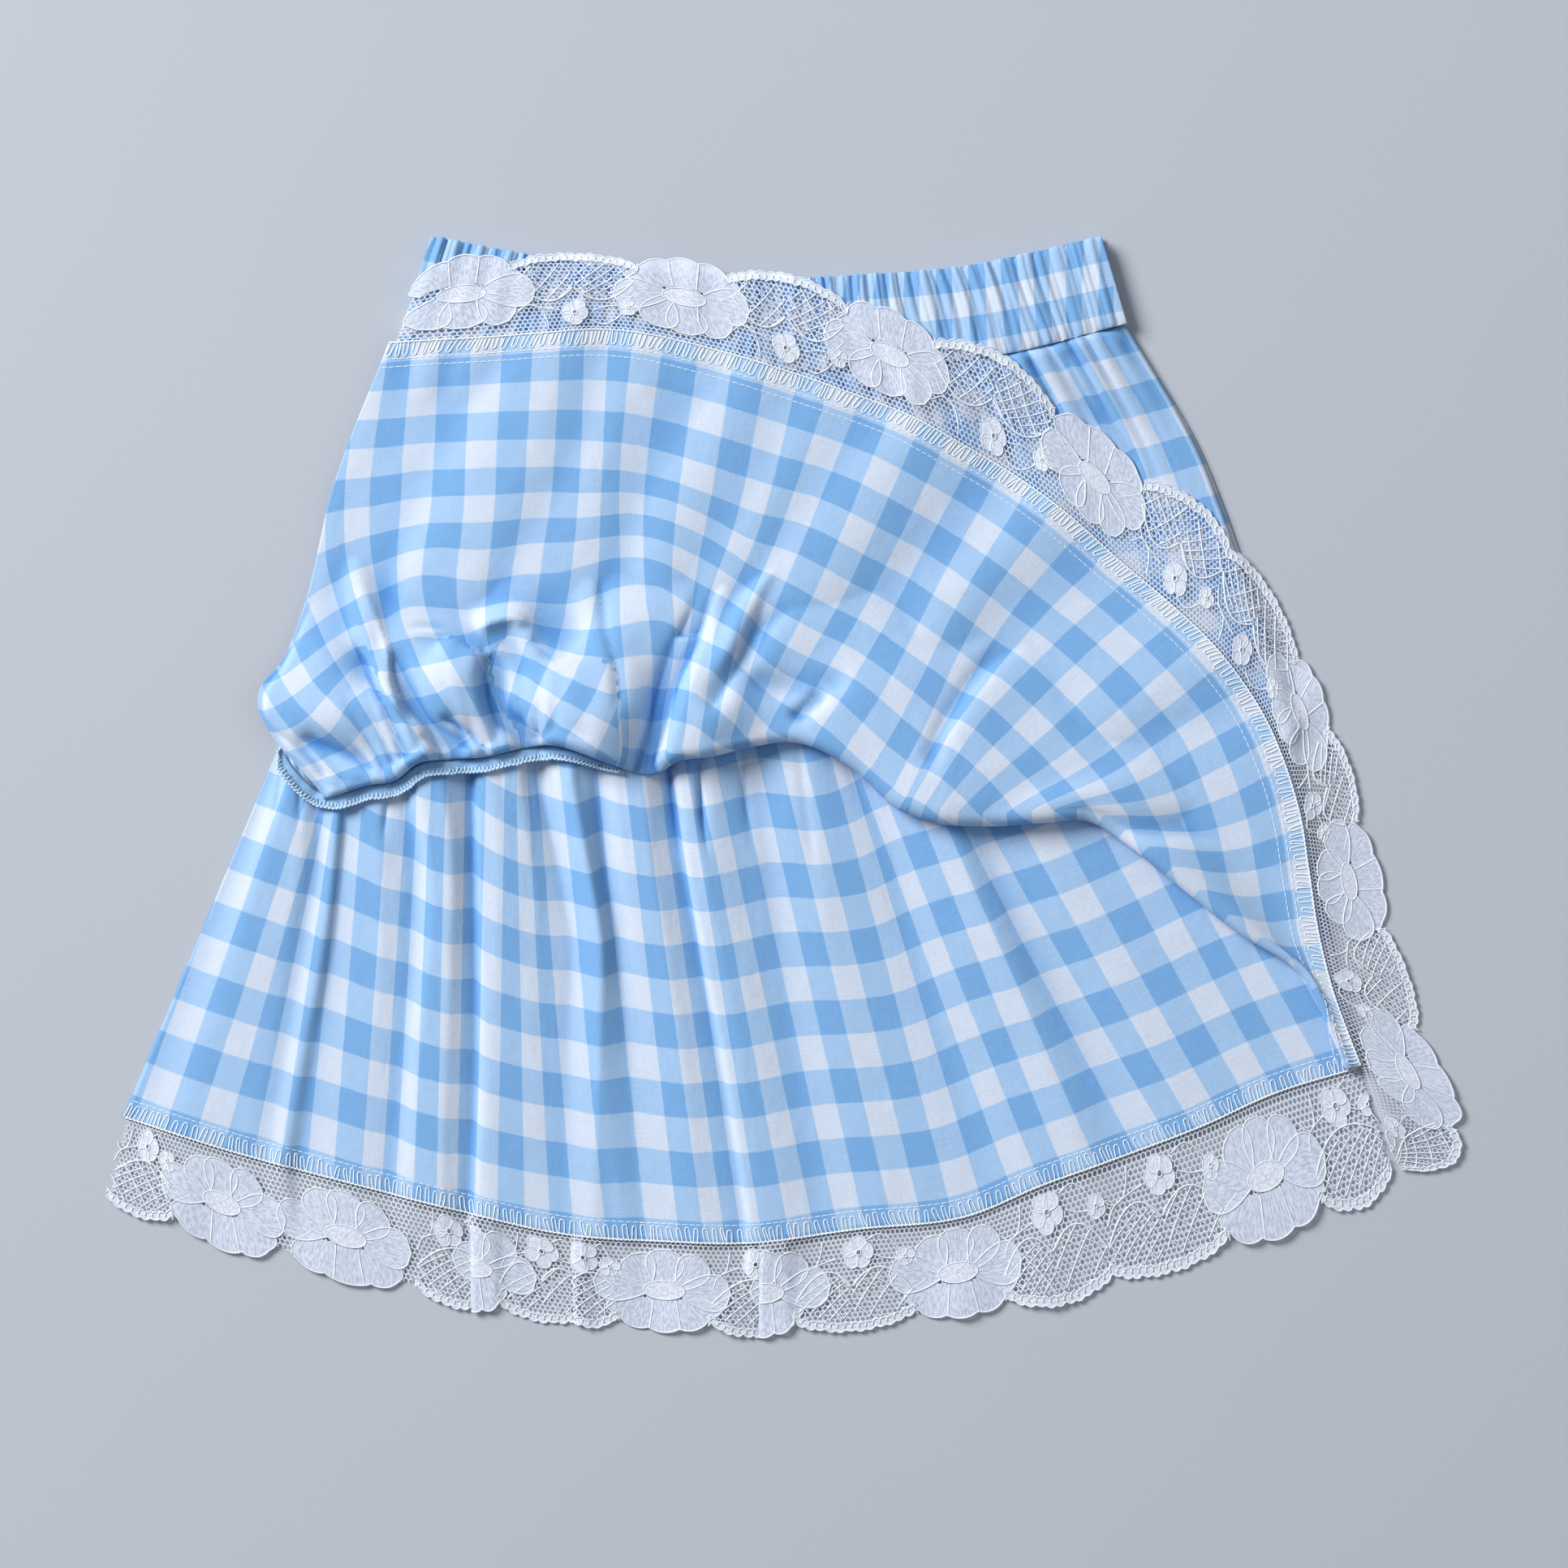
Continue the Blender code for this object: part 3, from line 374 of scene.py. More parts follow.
class Ground:
    """Height of what already lies on the floor, on a fine square grid."""

    CELL = 0.6
    HALF = (240.0, 200.0)
    # Each quad of a sheet is read at this many places along each side
    PIECES = 4

    def __init__(self):
        self.top = np.zeros([int(2 * half / self.CELL) for half in self.HALF])

    def cells(self, points):
        x = ((points[..., 0] + self.HALF[0]) / self.CELL).astype(int)
        y = ((points[..., 1] + self.HALF[1]) / self.CELL).astype(int)
        return np.clip(x, 0, self.top.shape[0] - 1), np.clip(y, 0, self.top.shape[1] - 1)

    def lay(self, grid):
        """Adds a sheet, given as a grid of points on its middle surface."""
        for a in np.arange(self.PIECES) / self.PIECES:
            for b in np.arange(self.PIECES) / self.PIECES:
                upper = grid[:-1, :-1] * (1 - b) + grid[:-1, 1:] * b
                lower = grid[1:, :-1] * (1 - b) + grid[1:, 1:] * b
                spot = upper * (1 - a) + lower * a
                np.maximum.at(self.top, self.cells(spot), spot[..., 2] + CLOTH_WALL / 2)

    def near(self, points, reach):
        """Highest surface within reach of each point."""
        cells = int(round(reach / self.CELL))
        grown = self.top.copy()
        for dx in range(-cells, cells + 1):
            for dy in range(-cells, cells + 1):
                if dx * dx + dy * dy <= cells * cells:
                    grown = np.maximum(grown, np.roll(self.top, (dx, dy), (0, 1)))
        return grown[self.cells(points)]


def blurred(values, rounds):
    """A grid of values, smoothed."""
    for _ in range(rounds):
        padded = np.pad(values, 1, mode="edge")
        values = (
            padded[1:-1, 1:-1] * 0.4
            + 0.15 * (padded[:-2, 1:-1] + padded[2:, 1:-1] + padded[1:-1, :-2] + padded[1:-1, 2:])
        )
    return values


# Painted shade in the hollows between folds: a point's depth is measured against the cloth smoothed this
# often, and the painted shade is full at this depth
PAINTED_SHADE_ROUNDS = 70
PAINTED_SHADE_DEPTH = 1.5


def painted_shade_mask(middle):
    """Share of painted shade at each point, from how deep it lies between the folds round it: 0 level or
    raised, 1 deep.
    """
    height = middle[..., 2]
    return np.clip((blurred(height, PAINTED_SHADE_ROUNDS) - height) / PAINTED_SHADE_DEPTH, 0, 1)


# Settling: rounds of easing off, and the least clearance with the reach it is kept over
DRAPE_ROUNDS = 40
TOUCH_REACH = 0.9
TOUCH_GAP = 0.12


def settle(middle, ground, reach, gap=LAY_GAP, wall=CLOTH_WALL):
    """Cloth lifted clear of what lies below it, easing off beside it as real cloth does."""
    floor = ground.near(middle, reach) + gap + wall / 2
    touch = ground.near(middle, TOUCH_REACH) + TOUCH_GAP + wall / 2
    lift = np.maximum(floor - middle[..., 2], 0.0)
    down = np.linalg.norm(np.diff(middle[..., :2], axis=0), axis=2) * DRAPE_SLOPE
    across = np.linalg.norm(np.diff(middle[..., :2], axis=1), axis=2) * DRAPE_SLOPE
    for _ in range(DRAPE_ROUNDS):
        lift[1:] = np.maximum(lift[1:], lift[:-1] - down)
        lift[:-1] = np.maximum(lift[:-1], lift[1:] - down)
        lift[:, 1:] = np.maximum(lift[:, 1:], lift[:, :-1] - across)
        lift[:, :-1] = np.maximum(lift[:, :-1], lift[:, 1:] - across)
    lift = blurred(lift, 6)
    lift = np.maximum(lift, touch - middle[..., 2])
    settled = middle.copy()
    settled[..., 2] += blurred(lift, 1)
    settled[..., 2] = np.maximum(settled[..., 2], touch)
    return settled


def grid_normals(grid):
    """Unit normals of a grid of points, upwards on flat cloth."""
    down = np.gradient(grid, axis=0)
    across = np.gradient(grid, axis=1)
    normals = np.cross(down, across)
    normals /= np.maximum(np.linalg.norm(normals, axis=2, keepdims=True), 1e-9)
    middle = normals[normals.shape[0] // 3, normals.shape[1] // 2, 2]
    return normals if middle > 0 else -normals


def grid_faces(rows, columns, start=0):
    """Quads of a grid of points."""
    first = start + np.arange(rows - 1)[:, None] * columns + np.arange(columns - 1)[None]
    return np.stack([first, first + columns, first + columns + 1, first + 1], axis=-1).reshape(-1, 4)


def linked(name, data):
    """A new object in the scene."""
    thing = bpy.data.objects.new(name, data)
    bpy.context.scene.collection.objects.link(thing)
    return thing


def put_mesh(name, points, face_sets, materials, uv=None, painted_shade=None):
    """A mesh object riding on the skirt, from points in millimetres and arrays of faces.

    face_sets holds (faces, material number); uv is one pair for each point, and the last argument the share
    of painted shade in the hollows between folds for each point.
    """
    mesh = bpy.data.meshes.new(name)
    mesh.vertices.add(len(points))
    mesh.vertices.foreach_set("co", (np.asarray(points, float) * MM).ravel())
    corners = np.concatenate([faces.ravel() for faces, _ in face_sets])
    sizes = np.concatenate([np.full(len(faces), faces.shape[1]) for faces, _ in face_sets])
    slots = np.concatenate([np.full(len(faces), number) for faces, number in face_sets])
    mesh.loops.add(len(corners))
    mesh.loops.foreach_set("vertex_index", corners)
    mesh.polygons.add(len(sizes))
    mesh.polygons.foreach_set("loop_start", np.concatenate([[0], np.cumsum(sizes)[:-1]]))
    mesh.polygons.foreach_set("material_index", slots)
    mesh.update(calc_edges=True)
    if uv is not None:
        layer = mesh.uv_layers.new(name="cloth")
        layer.data.foreach_set("uv", np.asarray(uv, float)[corners].ravel())
    # The share of painted shade, stored on the mesh for the cloth's material to darken its colour by
    if painted_shade is not None:
        mesh.attributes.new("painted_shade", "FLOAT", "POINT").data.foreach_set("value", painted_shade)
    mesh.validate()
    for material in materials:
        mesh.materials.append(material)
    mesh.shade_smooth()
    thing = linked(name, mesh)
    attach(thing, "root")
    return thing


def cloth(name, middle, uv, material):
    """A thin shell of cloth on both sides of its middle surface."""
    rows, columns = middle.shape[:2]
    out = grid_normals(middle) * CLOTH_WALL / 2
    turned = np.cross(np.diff(middle[:2, :1], axis=0)[0, 0], np.diff(middle[:1, :2], axis=1)[0, 0])
    points = np.concatenate([(middle + out).reshape(-1, 3), (middle - out).reshape(-1, 3)])
    under = rows * columns
    top = grid_faces(rows, columns)
    ring = [(0, c) for c in range(columns)] + [(r, columns - 1) for r in range(1, rows)]
    ring += [(rows - 1, c) for c in range(columns - 2, -1, -1)] + [(r, 0) for r in range(rows - 2, 0, -1)]
    loop = np.array([r * columns + c for r, c in ring])
    following = np.roll(loop, -1)
    side = np.stack([loop, following, following + under, loop + under], axis=1)
    faces = np.concatenate([top, top[:, ::-1] + under, side])
    if turned @ out[0, 0] < 0:
        faces = faces[:, ::-1]
    both = np.concatenate([uv.reshape(-1, 2)] * 2)
    # Painted shade: how deep each point lies between the folds, for the material to darken the checks by
    painted_shade = np.concatenate([painted_shade_mask(middle).ravel()] * 2)
    return put_mesh(name, points, [(faces, 0)], [material], both, painted_shade)


def read_grid(table, i, j, a, b):
    """A grid read within its cell i, j, at the share a down and b across."""
    upper = table[i, j] * (1 - b) + table[i, j + 1] * b
    return upper * (1 - a) + (table[i + 1, j] * (1 - b) + table[i + 1, j + 1] * b) * a


class Strip:
    """A sheet read by length along its edge and distance in from it, both in millimetres."""

    def __init__(self, grid, depths):
        self.grid = grid
        self.depths = np.asarray(depths, float)
        self.along = lengths(grid[0])
        self.length = self.along[-1]
        self.up = grid_normals(grid)

    def at(self, s, t, lift=0.0):
        s = np.clip(np.asarray(s, float), 0, self.length - 1e-6)
        t = np.clip(np.asarray(t, float), self.depths[0], self.depths[-1] - 1e-6)
        j = np.clip(np.searchsorted(self.along, s, side="right") - 1, 0, len(self.along) - 2)
        i = np.clip(np.searchsorted(self.depths, t, side="right") - 1, 0, len(self.depths) - 2)
        b = ((s - self.along[j]) / (self.along[j + 1] - self.along[j]))[..., None]
        a = ((t - self.depths[i]) / (self.depths[i + 1] - self.depths[i]))[..., None]
        up = read_grid(self.up, i, j, a, b)
        return read_grid(self.grid, i, j, a, b) + up * np.asarray(lift, float)[..., None]


def hem_strip(middle, depths):
    """The strip of a sheet next to its first row, from rows at given distances in from it."""
    run = lengths(middle)
    rows = []
    for depth in depths:
        below = np.clip((run < depth).sum(axis=0) - 1, 0, len(middle) - 2)
        columns = np.arange(middle.shape[1])
        low, high = run[below, columns], run[below + 1, columns]
        share = ((depth - low) / np.maximum(high - low, 1e-9))[:, None]
        rows.append(middle[below, columns] * (1 - share) + middle[below + 1, columns] * share)
    return Strip(np.array(rows), depths)


def tube(path, radius, sides=5, flat=1.0):
    """Points and faces of a closed-ended thread along a path of points."""
    path = np.asarray(path, float)
    run = np.gradient(path, axis=0)
    run /= np.maximum(np.linalg.norm(run, axis=1, keepdims=True), 1e-9)
    side = np.cross(run, (0.0, 0.0, 1.0))
    short = np.linalg.norm(side, axis=1) < 0.05
    side[short] = (1.0, 0.0, 0.0)
    side /= np.linalg.norm(side, axis=1, keepdims=True)
    up = np.cross(side, run)
    turn = np.arange(sides) * 2 * math.pi / sides
    radius = np.broadcast_to(radius, len(path))[:, None, None]
    ring = np.cos(turn)[None, :, None] * side[:, None] + flat * np.sin(turn)[None, :, None] * up[:, None]
    points = (path[:, None] + radius * ring).reshape(-1, 3)
    first = np.arange(len(path) - 1)[:, None] * sides + np.arange(sides)[None]
    following = np.arange(len(path) - 1)[:, None] * sides + np.roll(np.arange(sides), -1)[None]
    faces = np.stack([first, following, following + sides, first + sides], axis=-1).reshape(-1, 4)
    return points, faces


class Threads:
    """Many threads joined into one mesh."""

    def __init__(self):
        self.points = []
        self.faces = []
        self.count = 0

    def add(self, path, radius, sides=5, flat=1.0):
        points, faces = tube(path, radius, sides, flat)
        self.points.append(points)
        self.faces.append(faces + self.count)
        self.count += len(points)

    def put(self, name, material):
        faces = np.concatenate(self.faces)
        return put_mesh(name, np.concatenate(self.points), [(faces, 0)], [material])


class Shader:
    """Builds a node material in a few words."""

    def __init__(self, name):
        self.material = bpy.data.materials.new(name)
        self.material.use_nodes = True
        self.tree = self.material.node_tree
        self.surface = self.tree.nodes["Principled BSDF"]

    def node(self, kind, settings=(), **inputs):
        """A node with its settings. Its inputs are given by name, or as i0, i1 by their number."""
        made = self.tree.nodes.new("ShaderNode" + kind)
        for key, value in dict(settings).items():
            setattr(made, key, value)
        for key, value in inputs.items():
            number = key[0] == "i" and key[1:].isdigit()
            self.feed(made.inputs[int(key[1:]) if number else key], value)
        return made

    def feed(self, socket, value):
        if isinstance(value, bpy.types.NodeSocket):
            self.tree.links.new(value, socket)
        elif value is not None:
            socket.default_value = value

    def math(self, operation, a, b=None, c=None):
        made = self.node("Math", {"operation": operation})
        for socket, value in zip(made.inputs, (a, b, c)):
            self.feed(socket, value)
        return made.outputs[0]

    def mix(self, share, a, b):
        made = self.node("Mix", {"data_type": "RGBA"})
        self.feed(made.inputs["Factor"], share)
        self.feed(made.inputs[6], a)
        self.feed(made.inputs[7], b)
        return made.outputs[2]

    def smooth(self, value, low, high):
        made = self.node("MapRange", {"interpolation_type": "SMOOTHSTEP"})
        self.feed(made.inputs["Value"], value)
        made.inputs["From Min"].default_value = low
        made.inputs["From Max"].default_value = high
        return made.outputs[0]

    def noise(self, vector, scale, detail=2.0, stretch=None):
        if stretch is not None:
            vector = self.node("VectorMath", {"operation": "MULTIPLY"}, i0=vector, i1=stretch).outputs[0]
        made = self.node("TexNoise", {"noise_dimensions": "3D"}, Vector=vector, Scale=scale, Detail=detail)
        return made.outputs["Fac"]

    def cloth_uv(self):
        """The cloth's own lengths in checks: vector, u and v."""
        uv = self.node("UVMap", {"uv_map": "cloth"}).outputs[0]
        parts = self.node("SeparateXYZ", i0=uv)
        return uv, parts.outputs[0], parts.outputs[1]

    def finish(self, roughness, sheen=0.0, specular=0.3):
        self.surface.inputs["Roughness"].default_value = roughness
        self.surface.inputs["Specular IOR Level"].default_value = specular
        self.surface.inputs["Sheen Weight"].default_value = sheen
        self.surface.inputs["Sheen Roughness"].default_value = 0.5
        return self.material


# Cloth colours, linear, as they look in plain soft light
YARN_WHITE = (0.640, 0.720, 0.865, 1.0)
YARN_LIGHT = (0.370, 0.570, 0.850, 1.0)
YARN_BLUE = (0.200, 0.420, 0.755, 1.0)
THREAD_WHITE = (0.90, 0.96, 1.0, 1.0)
LACE_WHITE = (0.85, 0.91, 1.0, 1.0)
PETAL_WHITE = (0.70, 0.77, 0.92, 1.0)
DENSE_WHITE = (0.80, 0.86, 0.98, 1.0)
# In checks: half the width of a check's soft border, and how fast the weave's wave turns
CHECK_BLUR = 0.025
YARN_COUNT = 100.0
# Painted shade in the deepest hollows between folds: the colour that the checks are multiplied by there,
# standing in for the shade and the blue light bounced from the cloth
PAINTED_SHADE_TINT = (0.40, 0.60, 0.80, 1.0)


def gingham(name, depth=1.0):
    """Plain weave of white and blue yarns: checks of CHECK, where white crosses white at 0, 0, darkened by
    painted shade in the hollows between folds.
    """
    s = Shader(name)
    uv, u, v = s.cloth_uv()
    wander = s.math("MULTIPLY", s.math("SUBTRACT", s.noise(uv, 2.2, 3.0), 0.5), 0.05)
    blues = []
    for axis in (u, v):
        wave = s.math("PINGPONG", s.math("ADD", axis, wander), 1.0)
        blues.append(s.smooth(wave, 0.5 - CHECK_BLUR, 0.5 + CHECK_BLUR))
    warp = s.noise(uv, 1.0, 2.0, stretch=(26.0, 1.4, 1.0))
    weft = s.noise(uv, 1.0, 2.0, stretch=(1.4, 26.0, 1.0))
    waves = [s.math("SINE", s.math("MULTIPLY", axis, YARN_COUNT)) for axis in (u, v)]
    over = s.math("MULTIPLY", waves[0], waves[1])
    one = s.math("MAXIMUM", blues[0], blues[1])
    both = s.math("MULTIPLY", blues[0], blues[1])
    warped = s.math("MULTIPLY", over, s.math("SUBTRACT", blues[0], blues[1]))
    mixed = s.math("MULTIPLY_ADD", warped, 0.16, one)
    colour = s.mix(both, s.mix(mixed, YARN_WHITE, YARN_LIGHT), YARN_BLUE)
    # Painted shade: the checks are darkened and blued in the hollows between folds, by the share that the
    # mesh carries
    painted_shade = s.node("Attribute", {"attribute_name": "painted_shade"}).outputs["Fac"]
    tint = s.mix(painted_shade, (1.0, 1.0, 1.0, 1.0), PAINTED_SHADE_TINT)
    colour = s.node("VectorMath", {"operation": "MULTIPLY"}, i0=colour, i1=tint).outputs[0]
    slub = s.math("MULTIPLY_ADD", s.math("ADD", warp, weft), 0.16, 0.84)
    fuzz = s.math("MULTIPLY_ADD", s.noise(uv, 14.0, 2.0), 0.10, 0.95)
    value = s.math("MULTIPLY", slub, s.math("MULTIPLY", fuzz, depth))
    shade = s.node("HueSaturation", Color=colour, Value=value)
    s.feed(s.surface.inputs["Base Color"], shade.outputs[0])
    slubs = s.math("MULTIPLY", s.math("ADD", warp, weft), 0.9)
    height = s.math("ADD", s.math("MULTIPLY", over, 0.25), slubs)
    weave = s.node("Bump", Strength=0.35, Distance=0.00018, Height=height)
    soft = s.noise(uv, 0.9, 3.0)
    crumple = s.node("Bump", Strength=0.30, Distance=0.0011, Height=soft, Normal=weave.outputs[0])
    s.feed(s.surface.inputs["Normal"], crumple.outputs[0])
    return s.finish(0.9, sheen=0.06, specular=0.05)


def yarn(name, colour, grain):
    """Spun thread: a fine twist and small changes of tone."""
    s = Shader(name)
    place = s.node("TexCoord").outputs["Object"]
    tone = s.noise(place, grain, 3.0)
    darker = tuple(c * 0.88 for c in colour[:3]) + (1.0,)
    s.feed(s.surface.inputs["Base Color"], s.mix(tone, darker, colour))
    twist = s.node("Bump", Strength=0.4, Distance=0.0001, Height=tone)
    s.feed(s.surface.inputs["Normal"], twist.outputs[0])
    return s.finish(0.7, sheen=0.06, specular=0.08)


def petal_lace(name, tone, cover, streaks):
    """Close lace filling: fine threads that let some of the ground show between them."""
    s = Shader(name)
    uv, _, _ = s.cloth_uv()
    thread = s.noise(uv, 1.0, 1.0, stretch=streaks)
    amount = s.smooth(thread, 0.38, 0.62)
    s.surface.inputs["Base Color"].default_value = tone
    s.feed(s.surface.inputs["Alpha"], s.math("MULTIPLY_ADD", amount, 0.96 - cover, cover))
    bump = s.node("Bump", Strength=0.12, Distance=0.0001, Height=thread)
    s.feed(s.surface.inputs["Normal"], bump.outputs[0])
    return s.finish(0.85, sheen=0.05, specular=0.05)


def painted_floor():
    """Pale matt studio paper."""
    s = Shader("floor")
    place = s.node("TexCoord").outputs["Object"]
    tone = s.noise(place, 3.0, 3.0)
    grain = s.noise(place, 900.0, 2.0)
    colour = s.mix(tone, (0.478, 0.516, 0.580, 1.0), (0.502, 0.540, 0.604, 1.0))
    s.feed(s.surface.inputs["Base Color"], colour)
    bump = s.node("Bump", Strength=0.12, Distance=0.0002, Height=grain)
    s.feed(s.surface.inputs["Normal"], bump.outputs[0])
    return s.finish(0.9, specular=0.15)


# Columns of white checks on the back ruffle: column, x at the gather seam, x at the hem
BACK_COLUMNS = (
    (0, -154, -196), (1, -140, -177.5), (2, -138, -159.5), (3, -133, -143.5), (4, -118, -126.5),
    (5, -111, -118), (6, -102, -104), (7, -88, -93), (8, -81, -76), (9, -75, -61.5),
    (10, -52, -36.5), (11, -42, -21), (12, -32.5, -11), (13, -24.5, 5.5), (14, -11, 20),
    (15, 3, 37.5), (16, 19, 56.5), (17, 23.5, 75), (18, 40, 90), (19, 47, 114),
    (20, 67.5, 130), (21, 92.5, 147), (22, 109, 162.5), (23, 126, 179),
)
BACK_FIRST_ROW = 12.0
# Crests and valleys of the back ruffle from left to right: x at each of
# BACK_LEVELS, then the height at the first, the third and the last of them
BACK_LEVELS = (3.0, -22.0, -47.0, -77.0, -132.0)
BACK_LINES = (
    (-163.5, -175, -185, -197, -214, 0, 0, 0),
    (-157, -167, -176.5, -186.5, -204.5, 2.0, 1.8, 1.2),
    (-149, -149, -154, -159.5, -169.5, 2.8, 2.4, 1.2),
    (-143.5, -144.3, -149.3, -154, -162.5, 0.4, 0.7, 0.9),
    (-136.2, -138.3, -141.1, -146.6, -156.3, 3.0, 3.6, 3.4),
    (-135.4, -137.5, -140.3, -145.5, -155, 0.0, 0.0, 0.2),
    (-133, -134.5, -137.5, -142, -148.3, 0.9, 0.7, 0.6),
    (-124.5, -124.5, -124.5, -127, -132, 2.8, 2.5, 1.8),
    (-118.5, -114.5, -115, -117.8, -122.3, 0.6, 1.1, 0.9),
    (-113.5, -109, -109, -112.3, -115.5, 4.8, 4.4, 3.2),
    (-105, -102.8, -103, -104, -105.8, 5.2, 5.0, 3.6),
    (-96, -95.5, -95, -94.8, -96.8, 0.0, 0.0, 0.1),
    (-95, -94.6, -94.1, -93.9, -95.9, 3.0, 3.0, 2.4),
    (-91, -88.3, -89, -90.5, -91.5, 4.4, 4.0, 2.8),
    (-82, -78.3, -75.8, -77, -78.3, 4.2, 2.8, 1.8),
    (-76.3, -70.5, -66.3, -67, -68.3, 0.0, 0.8, 1.2),
    (-66, -61, -56.8, -57, -58.8, 5.0, 5.2, 2.4),
    (-57.8, -56, -52.3, -49, -44.5, 0.0, 0.2, 0.6),
    (-52.3, -49.5, -45, -40, -34.5, 3.2, 2.8, 1.5),
    (-43.3, -41.3, -37, -32.5, -26.5, 4.2, 3.8, 1.9),
    (-34.8, -31.5, -27, -21.3, -12.5, 0.0, 0.1, 0.3),
    (-33.8, -30.6, -26.1, -20.4, -11.6, 3.4, 3.4, 2.4),
    (-29, -25.5, -20, -14.5, -5.8, 4.6, 4.0, 2.4),
    (-8.3, -5.8, -2.5, 1.8, 10.5, 0.2, 0.8, 0.8),
    (5.5, 8.8, 12.5, 18.5, 29.3, 3.4, 2.6, 1.4),
    (21.3, 32, 38.3, 48, 65.5, 0.2, 0.5, 0.6),
    (45.5, 54.8, 66, 79.3, 98, 3.0, 3.8, 1.4),
    (51, 61.8, 73, 88, 108, 0.4, 0.6, 0.6),
    (68, 80.5, 93, 110.5, 128, 2.4, 2.2, 1.0),
    (108, 120.5, 133, 150.5, 168, 1.2, 1.1, 0.5),
    (155, 160, 166, 172, 178, 0, 0, 0),
)
# Where the checks fall: distance of the first row from each edge, what the cloth is drawn in by,
# and a place where white crosses white
BACK_CREST_PULL = 0.6
BACK_ROW_STRETCH = 40 / 43.5
FRONT_FIRST_ROW = 21.0
FRONT_ROW_STRETCH = 40 / 38.4
BAND_FIRST_ROW = 12.0
BAND_ROW_PITCH = 16.0
BAND_WHITE_X = 43.6
YOKE_SIDE_COLUMN = 17.0
YOKE_STRETCH = (1.40, 1.04)
YOKE_FIRST_ROW = 14.0


# Marks on the puffed front: patch, x, y, check column, and check row counted from MARK_ROW.
# Patches meet at tucks, where the checks jump: "top", "left", "bulge", "bias" and "right"
MARK_ROW = 4.0
MARK_REACH = 11.0
# What a mark counts for in a patch that it doesn't belong to
OTHER_PATCH = 0.002
FRONT_MARKS = (
    ("left", -144.0, 57.5, -1, -1), ("left", -154.8, 43.0, -2, -1), ("left", -151.3, 34.8, -2, 0),
    ("left", -137.0, 45.0, -1, 0), ("left", -141.0, 23.0, -2, 1), ("left", -133.3, 35.0, -1, 1),
    ("left", -130.0, 11.8, -2, 2), ("left", -129.5, 22.5, -1.5, 1.5), ("left", -140.0, 35.0, -1.5, 0.5),
    ("left", -130.3, 42.5, -0.5, 0.5), ("left", -132.8, 52.5, -0.5, -0.5),
    ("left", -145.8, 45.5, -1.5, -0.5),
    ("left", -152.0, 22.5, -2.5, 0.5),
    ("top", -129.3, 64.3, 0, -1), ("top", -125.0, 52.5, 0, 0), ("top", -115.3, 51.8, 1, 0),
    ("top", -96.5, 50.3, 2, 0), ("top", -80.0, 51.3, 3, 0), ("top", -63.5, 52.0, 4, 0),
    ("top", -70.8, 43.0, 3.5, 0.5), ("top", -58.0, 43.8, 4.5, 0.5), ("top", -87.8, 61.0, 2.5, -0.5),
    ("top", -107.0, 61.0, 1.5, -0.5), ("top", -71.3, 61.8, 3.5, -0.5),
    ("right", -46.8, 57.3, 5, 0), ("right", -45.0, 36.3, 5, 1), ("right", -44.5, 16.8, 5, 2),
    ("bulge", -122.5, 33.5, 0, 1), ("bulge", -115.0, 38.0, 0.5, 0.5), ("bulge", -110.0, 45.5, 1, 0),
    ("bulge", -104.0, 33.5, 1, 1), ("bulge", -94.0, 18.0, 1, 2), ("bulge", -94.0, 28.8, 1.5, 1.5),
    ("bulge", -112.0, 31.0, 0.5, 1), ("bulge", -94.0, 37.5, 1.5, 1),
    ("bias", -87.0, 39.3, 3, 2), ("bias", -74.0, 27.5, 4, 2), ("bias", -60.3, 17.3, 5, 2),
    ("bias", -66.3, 35.0, 4, 1), ("bias", -53.0, 33.5, 5, 1), ("bias", -77.0, 36.8, 3.5, 1.5),
    ("bias", -61.5, 28.0, 4.5, 1.5), ("bias", -71.5, 17.5, 4.5, 2.5),
)
# Where the cloth between the tucks stands up: x, y, height, radius
FRONT_PUFFS = (
    (-146, 30, 2.6, 14), (-136, 22, 2.0, 9), (-103, 33, 4.2, 10), (-97, 24, 1.6, 7), (-72, 27, 4.0, 13),
    (-58, 22, 2.0, 9), (-113, 20, 1.5, 5), (-20, 26, 3.0, 12),
)
# Outlines of the patches, in plan
FRONT_PATCHES = (
    ("left", ((-180, 72), (-138, 72), (-131.5, 52), (-126.5, 38), (-119.5, 18.5), (-112, -6), (-180, -6))),
    ("bulge", ((-121.5, 46), (-110, 48.8), (-100.8, 45.2), (-91, 41.8), (-90.2, 33.5), (-88.3, 26),
               (-81.5, 17.5), (-80, 4), (-114, 4), (-119.5, 18.5), (-125, 34))),
    ("bias", ((-91, 41.8), (-88, 45), (-82, 49), (-77, 43.8), (-69, 38.5), (-52.8, 39.3), (-51.5, 30.5),
              (-51, 4), (-80, 4), (-81.5, 17.5), (-88.3, 26), (-90.2, 33.5))),
    ("right", ((-57, 80), (-56.8, 58), (-55.5, 48), (-52.8, 39.3), (-51.5, 30.5), (-51, 4), (0, 4),
               (0, 80))),
)


def inside(outline, points):
    """Which points lie within an outline in plan."""
    found = np.zeros(points.shape[:-1], bool)
    outline = np.asarray(outline, float)
    x, y = points[..., 0], points[..., 1]
    for (x0, y0), (x1, y1) in zip(outline, np.roll(outline, -1, axis=0)):
        if y0 != y1:
            crossed = (y0 > y) != (y1 > y)
            found ^= crossed & (x < x0 + (x1 - x0) * (y - y0) / (y1 - y0))
    return found


